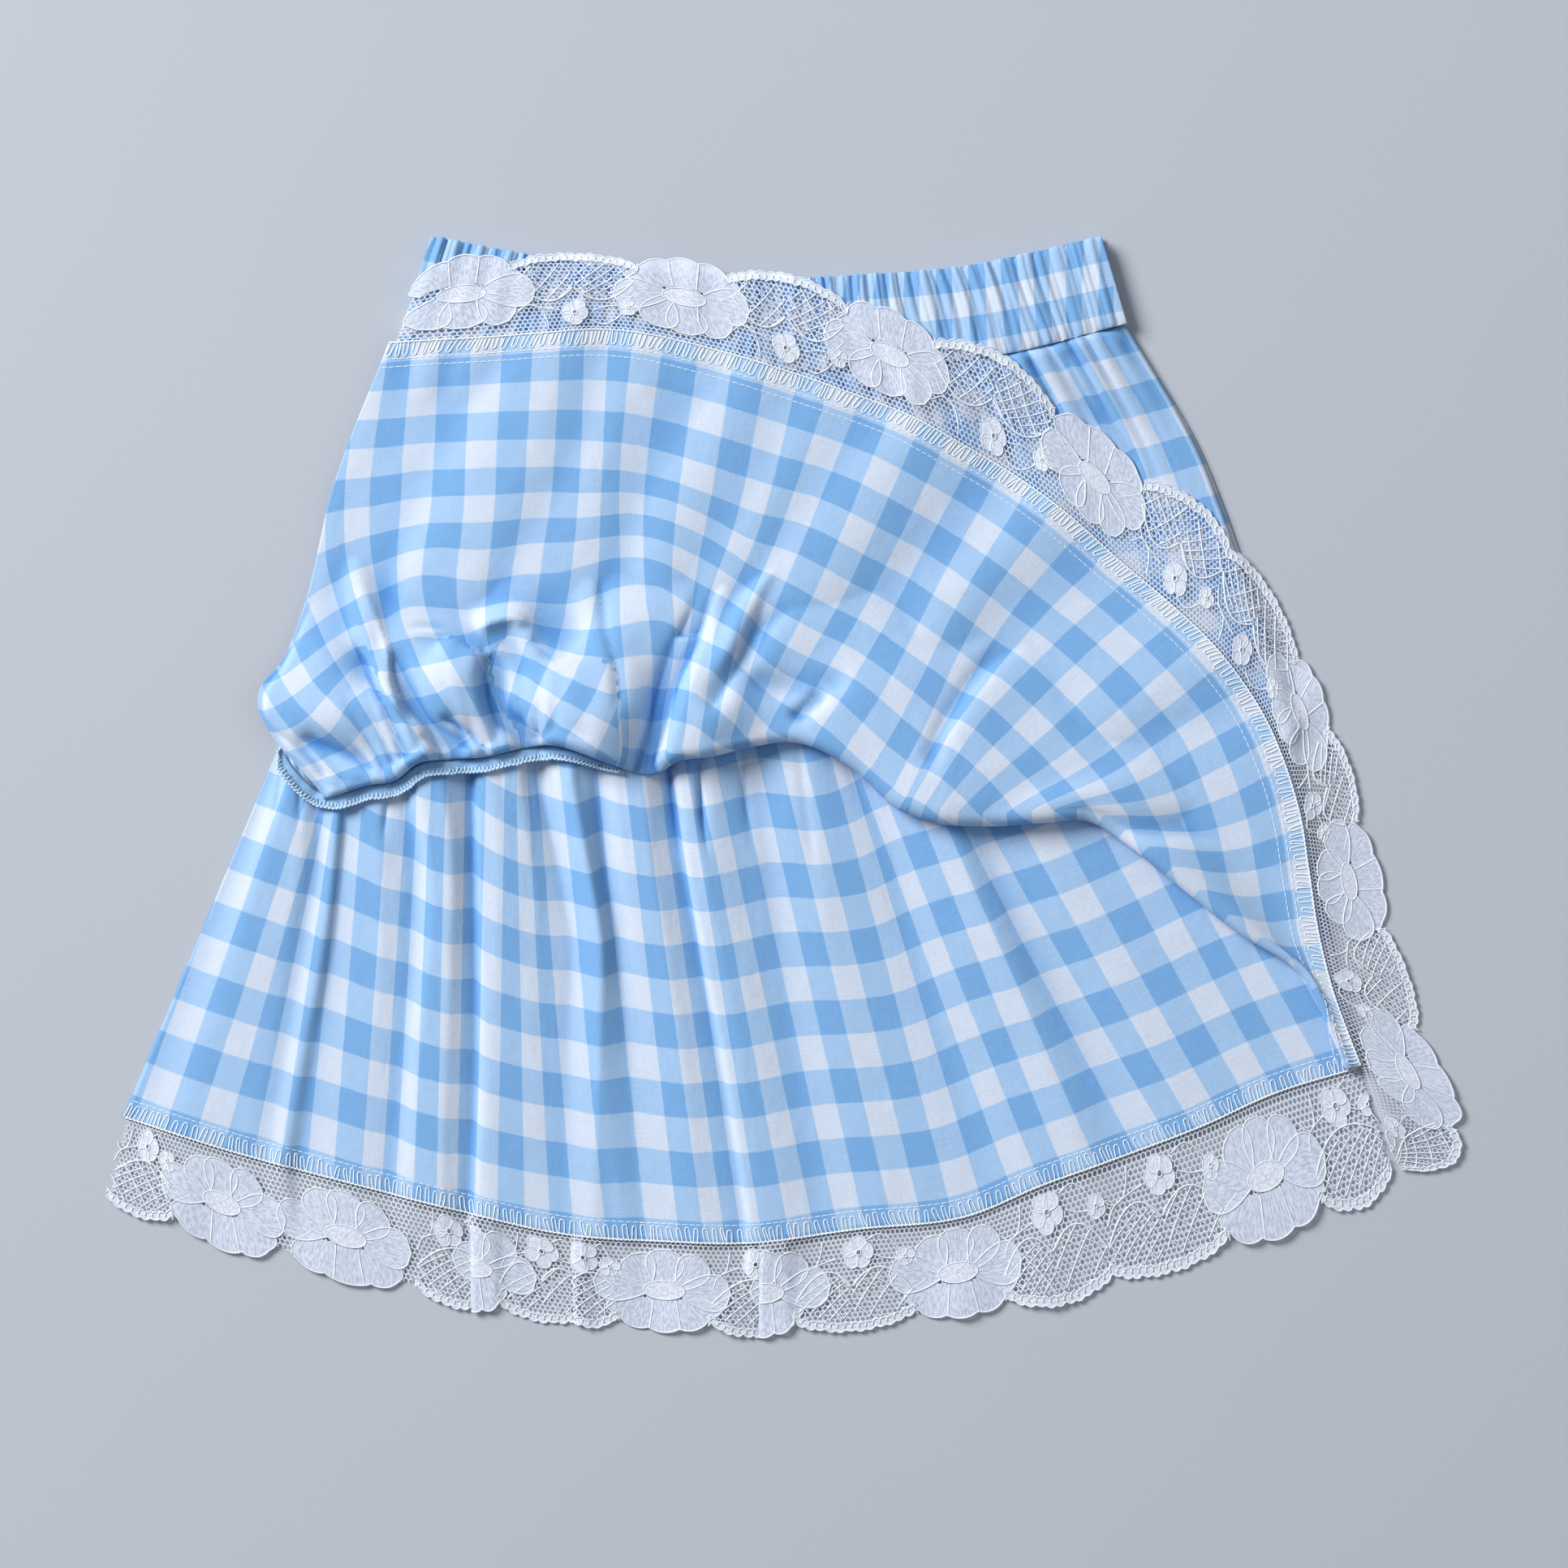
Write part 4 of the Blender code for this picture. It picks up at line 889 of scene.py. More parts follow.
def marked_uv(middle, uv):
    """Checks of the puffed front, drawn to the marks: smooth in a patch, broken at its tucks."""
    patch = np.zeros(middle.shape[:2], int)
    names = ["top"] + [name for name, _ in FRONT_PATCHES]
    for number, (_, outline) in enumerate(FRONT_PATCHES):
        patch[inside(outline, middle)] = number + 1
    flat = middle[..., :2]
    size = middle.shape[:2]
    normal = np.zeros(size + (3, 3))
    wanted = np.zeros(size + (3, 2))
    normal[..., 0, 0] = 0.015
    normal[..., 1, 1] = normal[..., 2, 2] = 25.0
    for name, x, y, column, row in FRONT_MARKS:
        away = flat - (x, y)
        square = (away ** 2).sum(axis=2)
        own = np.where(patch == names.index(name), square, np.inf)
        spot = np.unravel_index(np.argmin(own if np.isfinite(own).any() else square), size)
        shift = np.array([2.0 * column, 2.0 * (row + MARK_ROW)]) - uv[spot]
        near = [name == other or "top" in (name, other) for other in names]
        share = np.where(near, 1.0, OTHER_PATCH)
        weight = share[patch] * np.exp(-square / (2 * MARK_REACH ** 2))
        basis = np.concatenate([np.ones(size + (1,)), -away], axis=2)
        normal += weight[..., None, None] * basis[..., :, None] * basis[..., None, :]
        wanted += weight[..., None, None] * basis[..., :, None] * shift
    return uv + np.linalg.solve(normal, wanted)[..., 0, :]


# Where the lift, the hem and the fold edge stand in a row of FRONT_GUIDES
FOLD_LIFT = 1
HEM_POINT = 2
FOLD_POINT = 5


def guided(number, columns):
    """One entry of the front's guide rows, read at check columns."""
    return smooth_rows([row[0] for row in FRONT_GUIDES], [row[number] for row in FRONT_GUIDES], columns)


def fold_edge():
    """Points along the lower edge of the turned-up front."""
    return guided(FOLD_POINT, np.linspace(FRONT_GUIDES[0][0], FRONT_GUIDES[-1][0], 120))


# How far the back ruffle runs on under the front, as a share of its height
TUCKED_SHARE = 0.11


def raised_seam(x):
    """The gather seam of the back where this model has it: higher up, out of sight."""
    fan = np.asarray(BACK_FAN, float)
    seam_y = height_at(BACK_SEAM, fan[:, 0])
    hem_y = height_at(BACK_HEM, fan[:, 1])
    at = fan[:, 0] - TUCKED_SHARE * (fan[:, 1] - fan[:, 0])
    return smooth_rows(at, seam_y + TUCKED_SHARE * (seam_y - hem_y), x)


def draped(lines, levels, plan):
    """Height of cloth that hangs from crest to valley to crest between lines running down it."""
    table = np.asarray(lines, float)
    levels = np.asarray(levels, float)
    height = np.zeros(plan.shape[:2])
    for r, row in enumerate(plan):
        y = np.clip(row[:, 1], levels[-1], levels[0])
        at = smooth_rows(-levels, table[:, :5].T, -y).T
        tall = np.array([np.interp(-y, -levels[[0, 2, 4]], marks) for marks in table[:, 5:]])
        k = np.clip((row[None, :, 0] >= at).sum(axis=0) - 1, 0, len(table) - 2)
        columns = np.arange(len(row))
        share = (row[:, 0] - at[k, columns]) / np.maximum(at[k + 1, columns] - at[k, columns], 0.3)
        share = np.clip(share, 0, 1)
        height[r] = tall[k, columns] * (1 - share) + tall[k + 1, columns] * share
    return height


def back_ruffle():
    """The back ruffle: its folds stand up from the floor and flatten under the front."""
    fan = np.asarray(BACK_FAN, float)
    across = np.linspace(0, 1, BACK_RUFFLE_GRID[1])
    ends = smooth_rows(np.linspace(0, 1, len(fan)), fan, across)
    shares = np.linspace(-TUCKED_SHARE, 1, BACK_RUFFLE_GRID[0])[:, None]
    seam_y = height_at(BACK_SEAM, ends[:, 0])
    hem_y = height_at(BACK_HEM, ends[:, 1])
    x = ends[:, 0] + (ends[:, 1] - ends[:, 0]) * shares
    y = seam_y + (hem_y - seam_y) * shares
    plan = np.stack([x, y], axis=2)
    covered, _, _ = beside_path(plan.reshape(-1, 2), np.concatenate([ALLOWANCE_CORNER, fold_edge()]))
    open_share = (1 - ease((covered + 1.0) / (2 * BACK_REACH))).reshape(x.shape)
    below = y[:1] - y
    z = draped(BACK_LINES, BACK_LEVELS, plan)
    for _ in range(4):
        z[:, 1:-1] = 0.25 * z[:, :-2] + 0.5 * z[:, 1:-1] + 0.25 * z[:, 2:]
    z *= 1 - 0.22 * ease(below / 110)
    relief_pull = z.copy()
    z += grooves(BACK_CREASES, plan) + 1.4 * np.exp(-((below / 45) ** 2))
    gathers = BACK_RUFFLE_GATHERS
    puffed = gathers.height * puffs(across, gathers.count, gathers.seed)[None]
    z += puffed * np.exp(-((below / gathers.reach) ** 2))
    z += 0.3 * noise_row(across, 0.03, 8)[None] * np.clip(0.4 + 0.6 * shares, 0, 1)
    z *= ease(np.minimum(across, 1 - across) * (fan[-1, 0] - fan[0, 0]) / SIDE_FLAT)
    middle = with_height(plan, layer_height(0) + np.maximum(z, 0) * open_share)

    columns = np.asarray(BACK_COLUMNS, float)
    run = lengths(middle.transpose(1, 0, 2)).T
    u = np.zeros(x.shape)
    for r in range(len(x)):
        marks = columns[:, 1] + (columns[:, 2] - columns[:, 1]) * shares[r]
        at = np.interp(marks, x[r], run[r])
        at[-1] = max(at[-1], at[-2] + marks[-1] - marks[-2])
        u[r] = np.interp(run[r], at, columns[:, 0] * 2)
        left = run[r] < at[0]
        u[r][left] = (run[r][left] - at[0]) / CHECK
    v = lengths(plan[::-1])[::-1]
    v = ((v - BACK_FIRST_ROW) * BACK_ROW_STRETCH + BACK_CREST_PULL * (relief_pull - 1.6)) / CHECK
    return middle[::-1], np.stack([u, v], axis=2)[::-1]


def front_plan(columns, shares):
    """Plan of the turned-up ruffle: x, y for each share from hem to fold edge, and its columns."""
    guide_columns = [row[0] for row in FRONT_GUIDES]
    left = np.asarray(FRONT_LEFT)
    spread = np.linspace(0, 1, columns + 1)
    spread = np.concatenate([np.linspace(0, spread[4], 9)[:-1], spread[4:]])
    grid = []
    cloth_columns = []
    for share in shares:
        first = float(smooth_rows(left[:, 0], left[:, 1], share)[0])
        at = first + (guide_columns[-1] - first) * spread
        marks = [smooth_rows((0, 1 / 3, 2 / 3, 1), row[2:], share)[0] for row in FRONT_GUIDES]
        grid.append(smooth_rows(guide_columns, marks, at))
        cloth_columns.append(at)
    return np.array(grid), np.array(cloth_columns)


# Check columns that the tucks at the fold edge are spread over, and where they start to fade out
TUCK_COLUMNS = (-3.2, 6.3)
TUCKS_END = 3.6


def front_ruffle(ground, fold_ground):
    """The turned-up ruffle: its puffed top, the fold edge curled under, and the cloth folded in."""
    shares = np.concatenate([np.linspace(0, 0.08, 9)[:-1], np.linspace(0.08, 1, 112)])
    plan, columns = front_plan(FRONT_COLUMNS, shares)
    half = guided(FOLD_LIFT, columns[-1]) / 2
    out = outward(plan[-1])
    edge = plan[-1] - out * CLOTH_WALL / 2
    centre = edge - out * half[:, None]
    pull = ease((shares - 0.45) / 0.55)[:, None, None]
    plan = plan + (centre - plan[-1])[None] * pull

    probe = np.array([edge + out, centre, centre - out * 4.0, centre - out * 8.0])
    need = fold_ground.near(probe, 1.5).max(axis=0) + LAY_GAP + CLOTH_WALL / 2
    low = np.maximum(need, layer_height(0))
    for _ in range(10):
        low = np.maximum(low, np.convolve(np.pad(low, 2, mode="edge"), np.ones(5) / 5, "valid"))
    low = np.convolve(np.pad(low, 4, mode="edge"), np.ones(9) / 9, "valid") + 0.1

    flat_z = layer_height(2)
    z = flat_z + (low + 2 * half - flat_z)[None] * ease((shares - 0.3) / 0.7)[:, None]
    z = z + relief(FRONT_FOLDS, plan) * np.clip(z / flat_z - 0.6, 0.2, 1.0)
    for x, y, height, radius in FRONT_PUFFS:
        z = z + height * np.exp(-((plan - (x, y)) ** 2).sum(axis=2) / radius ** 2)
    z = z + grooves(FRONT_CREASES, plan)
    up_from_edge = np.linalg.norm(plan - plan[-1:], axis=2)
    spread = np.clip((columns - TUCK_COLUMNS[0]) / (TUCK_COLUMNS[1] - TUCK_COLUMNS[0]), 0, 1)
    tucks = FRONT_TUCKS.height * (puffs(spread, FRONT_TUCKS.count, FRONT_TUCKS.seed) - 0.6)
    ended = 1 - ease((columns - TUCKS_END) / 1.6)
    z = z + tucks * np.exp(-up_from_edge / FRONT_TUCKS.reach) * ended * ease(up_from_edge / 2)
    within = (columns - columns[:, :1]) * EDGE_COLUMN_WIDTH
    roll = 1 - np.sqrt(1 - np.clip(1 - within / EDGE_ROLL, 0, 1) ** 2)
    z -= (z - WALL) * roll
    z = np.maximum(z, low[None] + 1.4 * WALL * (shares > 0.7)[:, None])
    middle = settle(with_height(plan, z), ground, 2.4)

    tall = (middle[-1, :, 2] - low) / 2
    rows = [middle]
    for turn in np.linspace(0, math.pi, 15)[1:]:
        place = centre + out * (half * math.sin(turn))[:, None]
        rows.append(with_height(place, low + tall + tall * math.cos(turn))[None])
    tuck_y = height_at(FRONT_SEAM, centre[:, 0]) - SEAM_GAP
    tucked = []
    for share in np.linspace(0, 1, 14)[1:]:
        y = centre[:, 1] + (np.maximum(tuck_y, centre[:, 1] + 1.5) - centre[:, 1]) * share
        height = low + (layer_height(1) - low) * ease(share)
        tucked.append(with_height(np.column_stack([centre[:, 0], y]), height))
    rows.append(settle(np.array(tucked), fold_ground, 1.2))
    middle = np.concatenate(rows)
    v = lengths(middle)
    v = (v - FRONT_FIRST_ROW) * FRONT_ROW_STRETCH / CHECK
    u = np.concatenate([columns * 2, np.repeat(columns[-1:] * 2, len(middle) - len(columns), axis=0)])
    plain = np.stack([u, v], axis=2)
    seen = len(columns)
    marked = marked_uv(middle[:seen], plain[:seen])
    return middle, np.concatenate([marked, marked[-1] + (plain[seen:] - plain[seen - 1])])


def yoke_plan(foot_edge, size):
    """Plan of a yoke between the waistband and its lower edge, with shares across."""
    rows, columns = size
    across = np.linspace(0, 1, columns)
    down = np.linspace(0, 1, rows)
    sides = np.asarray(YOKE_SIDES)
    first, last = sides[0, 1:]
    top_line = height_at(BAND_FOOT, first + (last - first) * across) - SEAM_GAP
    grid = np.zeros((rows, columns, 2))
    for r, share in enumerate(down):
        left, right = smooth_rows(sides[:, 0], sides[:, 1:], share)[0]
        x = left + (right - left) * across
        grid[r, :, 0] = x
        grid[r, :, 1] = top_line * (1 - share) + foot_edge(x) * share
    return grid, across


def yoke_uv(middle):
    """Checks of a yoke, counted in from its right side and down from the waistband."""
    down = np.linspace(0, 1, len(middle))[:, None]
    stretch = YOKE_STRETCH[0] + (YOKE_STRETCH[1] - YOKE_STRETCH[0]) * ease(down / 0.75)
    u = (middle[:, -1:, 0] - middle[..., 0]) * stretch - YOKE_SIDE_COLUMN
    v = lengths(middle) - YOKE_FIRST_ROW
    return np.stack([u, v], axis=2) / CHECK


def back_yoke():
    """Back yoke, flat on the floor."""
    plan, across = yoke_plan(lambda x: raised_seam(x) + SEAM_GAP, BACK_YOKE_GRID)
    below = plan[:1, :, 1] - plan[..., 1]
    gathers = BACK_YOKE_GATHERS
    z = gathers.height * puffs(across, gathers.count, gathers.seed)[None]
    z = layer_height(0) + z * np.exp(-below / gathers.reach) * ease(below / 3)
    middle = with_height(plan, z)
    return middle, yoke_uv(middle)


def front_yoke(ground):
    """Front yoke on the back one, rising to the band with small gathers."""

    def foot(x):
        inner = height_at(FRONT_SEAM, x)
        outer = height_at(YOKE_FOOT_RIGHT, x)
        return np.where(x < YOKE_FOOT_RIGHT[0][0], inner, outer) + SEAM_GAP

    plan, across = yoke_plan(foot, FRONT_YOKE_GRID)
    below = plan[:1, :, 1] - plan[..., 1]
    low = layer_height(1)
    high = BAND_THICK + SEAM_GAP + WALL
    side = ease(np.minimum(across, 1 - across) * (plan[0, -1, 0] - plan[0, 0, 0]) / SIDE_FLAT)
    z = low + (high - low) * (1 - ease(below / 34)) * side
    gathers = FRONT_YOKE_GATHERS
    puffed = gathers.height * (puffs(across, gathers.count, gathers.seed)[None] - 0.35)
    z += puffed * np.exp(-below / gathers.reach) * side * ease(below / 2)
    z += relief(YOKE_FOLDS, plan)
    z += 0.3 * noise_row(across, 0.02, 4)[None]
    middle = settle(with_height(plan, np.maximum(z, low)), ground, 1.2)
    return middle, yoke_uv(middle)


# Gathers across a waistband half: coarse ones by the top edge and by the foot, and fine ones over
# all of it. Height of a gather, and the share of it that counts as level
BAND_PUFFS_TOP = 47
BAND_PUFFS_FOOT = 37
BAND_PUFFS_FINE = 97
BAND_FINE_SHARE = 0.25
BAND_GATHER = 2.6
BAND_LEVEL = 0.62


def waistband(bottom, seed):
    """One half of the elasticated casing, a flat tube with sharp gathers, and its checks."""
    along = np.linspace(0, 1, BAND_COLUMNS)
    top = np.asarray(BAND_TOP, float)
    foot = np.asarray(BAND_FOOT, float)
    knots = np.linspace(0, 1, len(top))
    upper = smooth_rows(knots, top, along)
    lower = smooth_rows(knots, foot, along)
    turn = np.linspace(0, 2 * math.pi, BAND_RINGS + 1)[:-1]
    ring = np.stack([0.5 - 0.5 * np.sign(np.cos(turn)) * np.abs(np.cos(turn)) ** 0.6,
                     np.sign(np.sin(turn)) * np.abs(np.sin(turn)) ** 0.6], axis=1)
    height = BAND_THICK / 2
    end = ease(np.minimum(along, 1 - along) * BAND_LENGTH / BAND_END)
    rows = []
    folds = []
    for share, rise in ring:
        drift = 0.0035 * noise_row(along, 0.05, seed + 2) * math.sin(5 * share) + 0.004 * (share - 0.5)
        waves = puffs(along + drift, BAND_PUFFS_TOP, seed)
        second = puffs(along + drift, BAND_PUFFS_FOOT, seed + 1)
        blend = 0.45 * ease((share - 0.35) / 0.3)[()]
        gather = waves * (1 - blend) + second * blend
        fine = puffs(along + drift, BAND_PUFFS_FINE, seed + 5)
        gather = (1 - BAND_FINE_SHARE) * gather + BAND_FINE_SHARE * fine
        folds.append(gather)
        plan = upper + (lower - upper) * share
        if share < 0.1:
            plan = plan + np.array([0.0, 0.9]) * (gather[:, None] - 0.5)
        z = bottom + height + height * rise * (0.62 + 0.38 * end)
        if rise > 0:
            z = z + BAND_GATHER * min(2 * rise, 1) * (gather - BAND_LEVEL) * end
        rows.append(with_height(plan, z))
    middle = np.array(rows)
    step = np.linalg.norm(np.diff((upper + lower) / 2, axis=0), axis=1)
    u = np.zeros(middle.shape[:2])
    pull = np.mean(folds, axis=0)
    for r, gather in enumerate(folds):
        speed = np.sqrt(1 + (4.0 * np.diff(0.4 * gather + 0.6 * pull) / step) ** 2)
        run = np.concatenate([[0], np.cumsum(step * (0.6 + speed))])
        run *= BAND_CLOTH * step.sum() / run[-1]
        u[r] = run - np.interp(BAND_WHITE_X, middle[r, :, 0], run)
    depth = np.linalg.norm(upper - lower, axis=1)
    v = (ring[:, :1] * depth[None] - BAND_FIRST_ROW) / (BAND_ROW_PITCH / 2)
    return middle, np.stack([u / CHECK, v], axis=2)


def closed_cloth(name, middle, uv, material):
    """A tube of cloth with its ends closed flat, from rings of points."""
    rows, columns = middle.shape[:2]
    first = np.arange(rows)[:, None] * columns + np.arange(columns - 1)[None]
    following = np.roll(np.arange(rows), -1)[:, None] * columns + np.arange(columns - 1)[None]
    faces = np.stack([first, following, following + 1, first + 1], axis=-1).reshape(-1, 4)
    left = (np.arange(rows) * columns)[None]
    right = (np.arange(rows) * columns + columns - 1)[None, ::-1]
    sets = [(faces[:, ::-1], 0), (left, 0), (right, 0)]
    return put_mesh(name, middle.reshape(-1, 3), sets, [material], uv.reshape(-1, 2))


def seam_allowance(ground):
    """The gathered, overlocked edge that stands out below the fold edge at the left."""
    columns = np.linspace(ALLOWANCE_COLUMNS[0], ALLOWANCE_COLUMNS[1], ALLOWANCE_GRID[1])
    line = guided(FOLD_POINT, columns)
    line = line + outward(line) * SEAM_GAP
    corner = smooth_path(ALLOWANCE_CORNER, 14)
    inner = np.concatenate([corner, line])
    side = outward(inner)
    width = np.full(len(inner), ALLOWANCE_WIDTH)
    width[-40:] *= np.linspace(1.0, 0.35, 40)
    width[:12] *= np.linspace(0.3, 1.0, 12)
    along = np.linspace(0, 1, len(inner))
    shares = np.linspace(0, 1, ALLOWANCE_GRID[0])
    out = width * (shares[:, None] + 0.05 * noise_row(along, 0.02, 9))
    plan = inner[None] + side[None] * out[..., None]
    z = layer_height(0) + 0.35 * puffs(along, 30, 6)[None] * (0.35 + 0.65 * shares[:, None])
    z = z + 2.2 * shares[:, None]
    middle = settle(with_height(plan, z), ground, 1.2)
    u = (lengths(middle[0]) * 1.5 / CHECK)[None]
    v = 1.0 + (shares[:, None] - 0.5) * width[None] / CHECK * 0.6
    return middle, np.stack(np.broadcast_arrays(u, v), axis=2)


LACE_WIDTH = 27.0
# How far out the front lace's height is worked out, as a share of its width with its scallops
LACE_REACH = 1.16
# A flower's petals in millimetres from its centre: base, tip, half width
FLOWER_INNER = (
    ((-1.0, -1.5), (1.2, -12.6), 5.2),
    ((-4.6, -1.4), (-8.4, -11.6), 4.9),
    ((4.6, -1.4), (10.6, -10.6), 4.7),
    ((-5.0, -0.4), (-19.4, -1.8), 5.0),
    ((5.0, 0.0), (18.4, -0.2), 5.2),
)
# Scallops along each lace: kind, then where it ends; F a flower, A a veined arch
FRONT_SCALLOPS = (
    ("F", 30), ("A", 68), ("F", 97), ("A", 134), ("F", 164), ("A", 206), ("F", 243), ("A", 277),
    ("A", 316), ("F", 341), ("A", 370), ("F", 406), ("A", 438), ("F", 473), ("A", 498),
)
BACK_SCALLOPS = (
    ("A", 22), ("F", 57), ("F", 101), ("A", 126), ("F", 143), ("A", 170), ("A", 187), ("F", 216),
    ("A", 240), ("F", 260), ("A", 297), ("F", 326), ("A", 359), ("A", 396), ("F", 428), ("A", 452),
)
# Flowers: their size along the lace, the reach of the open fan, the centre's distance in
FLOWER_SIZE = 1.12
FAN_REACH = 14.8
FLOWER_DEPTH = 15.4
# Border of an arch: spacing of its picots, of the bumps that they ride on, and of its loops
PICOT_PITCH = 3.1
BUMP_PITCH = 8.4
LOOP_PITCH = 2.2
# Veined leaves: an arch wider than this has two, space between veins, top of the crown and its bend
LEAF_WIDE = 26.0
VEIN_SPACE = 4.2
CROWN = 11.0
CROWN_BEND = 26.0
# Cords from an arch's posy to its neighbours: places along and out, for a scallop of SCALLOP_PITCH
JOIN_PATHS = (
    ((-16.0, 14.0), (-14.0, 10.5), (-9.5, 8.6), (-5.0, 7.5)),
    ((5.0, 7.0), (9.0, 8.6), (13.0, 9.4), (16.4, 13.4)),
    ((-17.0, 7.5), (-14.0, 9.8), (-11.0, 9.0), (-9.4, 5.6), (-8.8, 2.0)),
    ((4.0, 3.0), (8.0, 1.6), (11.5, 3.8), (14.5, 7.4), (18.5, 8.4)),
)


class Lace:
    """A lace strip: its net, filled motifs and cords, placed by length along and distance out."""

    NET_PITCH = 1.55
    NET_THREAD = 0.36

    def __init__(self, inner, outer, length, place, lift, scallops):
        """inner and outer are its edge lines, place turns its own length and width share into a
        length along them and the height of a pleat, and lift gives the height of its ground."""
        self.inner = inner
        self.outer = outer
        self.passed = lengths(outer)
        self.length = length
        self.place = place
        self.lift = lift
        self.kinds = [kind for kind, _ in scallops]
        self.ends = np.array([0.0] + [end for _, end in scallops], float) * length / scallops[-1][1]
        self.points = []
        self.uv = []
        self.sets = []
        self.total = 0
        self.cords = Threads()

    def cell(self, s):
        """Number of the scallop at s, and the share of it that lies before s."""
        s = np.asarray(s, float)
        k = np.clip(np.searchsorted(self.ends, s, side="right") - 1, 0, len(self.kinds) - 1)
        return k, (s - self.ends[k]) / (self.ends[k + 1] - self.ends[k])

    def edge(self, s):
        """Outer edge of the scallops; a flower's scallop has lobes."""
        k, share = self.cell(s)
        swing = np.abs(np.sin(math.pi * np.clip(share, 0, 1))) ** 0.65 - 0.7
        lobes = 1.4 * (np.abs(np.sin(3 * math.pi * share)) ** 0.6 - 0.6)
        flower = np.array([kind == "F" for kind in self.kinds])[k]
        return LACE_WIDTH + SCALLOP_DEPTH * swing + np.where(flower, lobes, 0.0)

    def at(self, s, t, rise=0.0):
        s = np.clip(np.asarray(s, float), 0, self.length)
        t = np.asarray(t, float)
        share = t / LACE_WIDTH
        along, layer = self.place(s, share)
        along = np.clip(along, 0, self.passed[-1])
        inner = read_line(self.inner, self.passed, along)
        outer = read_line(self.outer, self.passed, along)
        plan = inner + (outer - inner) * share[..., None]
        return with_height(plan, self.lift(along, share) + layer + rise)

    def add(self, points, faces, material, uv):
        self.points.append(points.reshape(-1, 3))
        self.uv.append(np.asarray(uv, float).reshape(-1, 2))
        self.sets.append((faces + self.total, material))
        self.total += points.reshape(-1, 3).shape[0]

    def patch(self, s, t, rise, material=1, shape=None):
        """A filled piece from a grid of places."""
        points = self.at(s, t, rise)
        uv = shape if shape is not None else np.stack([s, t], axis=-1) * 0.1
        self.add(points, grid_faces(*s.shape), material, uv)

    def cord(self, path, radius, rise, pieces=1):
        """A thread along places on the lace, with more points between them if pieces says so."""
        path = np.asarray(path, float)
        moved = np.linalg.norm(np.diff(path, axis=0), axis=1) > 0.02
        path = path[np.concatenate([[True], moved])]
        if pieces > 1:
            path = smooth_path(path, pieces)
        keep = (path[:, 0] > 0.2) & (path[:, 0] < self.length - 0.2)
        if keep.sum() > 2:
            self.cords.add(self.at(path[keep, 0], path[keep, 1], rise), radius, 4, 0.5)

    def net(self):
        """Hexagonal net ground over the whole strip."""
        pitch = self.NET_PITCH
        rows = int(LACE_WIDTH * 1.3 / (pitch * 0.866))
        columns = int(self.length / pitch)
        q, r = np.meshgrid(np.arange(-rows, columns + 2), np.arange(rows), indexing="ij")
        s = pitch * (q + r / 2)
        t = pitch * math.sqrt(3) / 2 * r
        kept = (s > 0.8) & (s < self.length - 0.8) & (t < self.edge(s) - 1.2)
        number = np.full(kept.shape, -1)
        number[kept] = np.arange(kept.sum())
        reach = (pitch - self.NET_THREAD) / math.sqrt(3)
        turn = np.radians(30 + 60 * np.arange(6))
        cs = s[kept][:, None] + reach * np.cos(turn)
        ct = t[kept][:, None] + reach * np.sin(turn)
        points = self.at(cs, ct)
        quads = []
        triangles = []

        def beside(dq, dr):
            """The number of the cell that lies dq, dr away from each one."""
            found = np.full(number.shape, -1)
            rows_q = slice(max(dq, 0), number.shape[0] + min(dq, 0))
            rows_r = slice(max(dr, 0), number.shape[1] + min(dr, 0))
            source = number[rows_q, rows_r]
            q0, r0 = max(-dq, 0), max(-dr, 0)
            found[q0:q0 + source.shape[0], r0:r0 + source.shape[1]] = source
            return found

        n0, n60, n120 = beside(1, 0), beside(0, 1), beside(-1, 1)
        for near, ends in ((n0, (5, 3, 2, 0)), (n60, (0, 4, 3, 1)), (n120, (1, 5, 4, 2))):
            both = (number >= 0) & (near >= 0)
            a, b = number[both] * 6, near[both] * 6
            quads.append(np.stack([a + ends[0], b + ends[1], b + ends[2], a + ends[3]], axis=1))
        for corner, (near, after) in enumerate(((n0, n60), (n60, n120))):
            both = (number >= 0) & (near >= 0) & (after >= 0)
            corners = (number[both] * 6 + corner, near[both] * 6 + corner + 2, after[both] * 6 + corner + 4)
            triangles.append(np.stack(corners, axis=1))
        uv = np.stack([cs, ct], axis=-1) * 0.1
        start = self.total
        self.add(points, np.concatenate(quads), 0, uv)
        self.sets.append((np.concatenate(triangles) + start, 0))

    def border(self, first, last):
        """The corded band along an arch's edge: two cords, loops between them and picots."""
        s = np.linspace(first, last, max(int((last - first) / 0.6), 8))
        picots = 0.9 * np.abs(np.sin(math.pi * s / PICOT_PITCH)) ** 0.6
        bumps = 0.5 * np.abs(np.sin(math.pi * s / BUMP_PITCH)) ** 0.7
        edge = self.edge(s) + (picots + bumps) - 0.35
        shares = np.linspace(0, 1, 4)[:, None]
        t = edge[None] - 2.3 * (1 - shares)
        self.patch(np.broadcast_to(s, t.shape), t, 0.12, 2)
        self.cord(np.column_stack([s, edge - 2.35]), 0.27, 0.22)
        self.cord(np.column_stack([s, edge]), 0.26, 0.16)
        wave = np.arange(first, last, 0.28)
        turn = wave * 2 * math.pi / LOOP_PITCH
        loops = self.edge(wave) - 1.1 + 0.8 * np.sin(turn)
        self.cord(np.column_stack([wave + 0.55 * np.cos(turn), loops]), 0.21, 0.3)

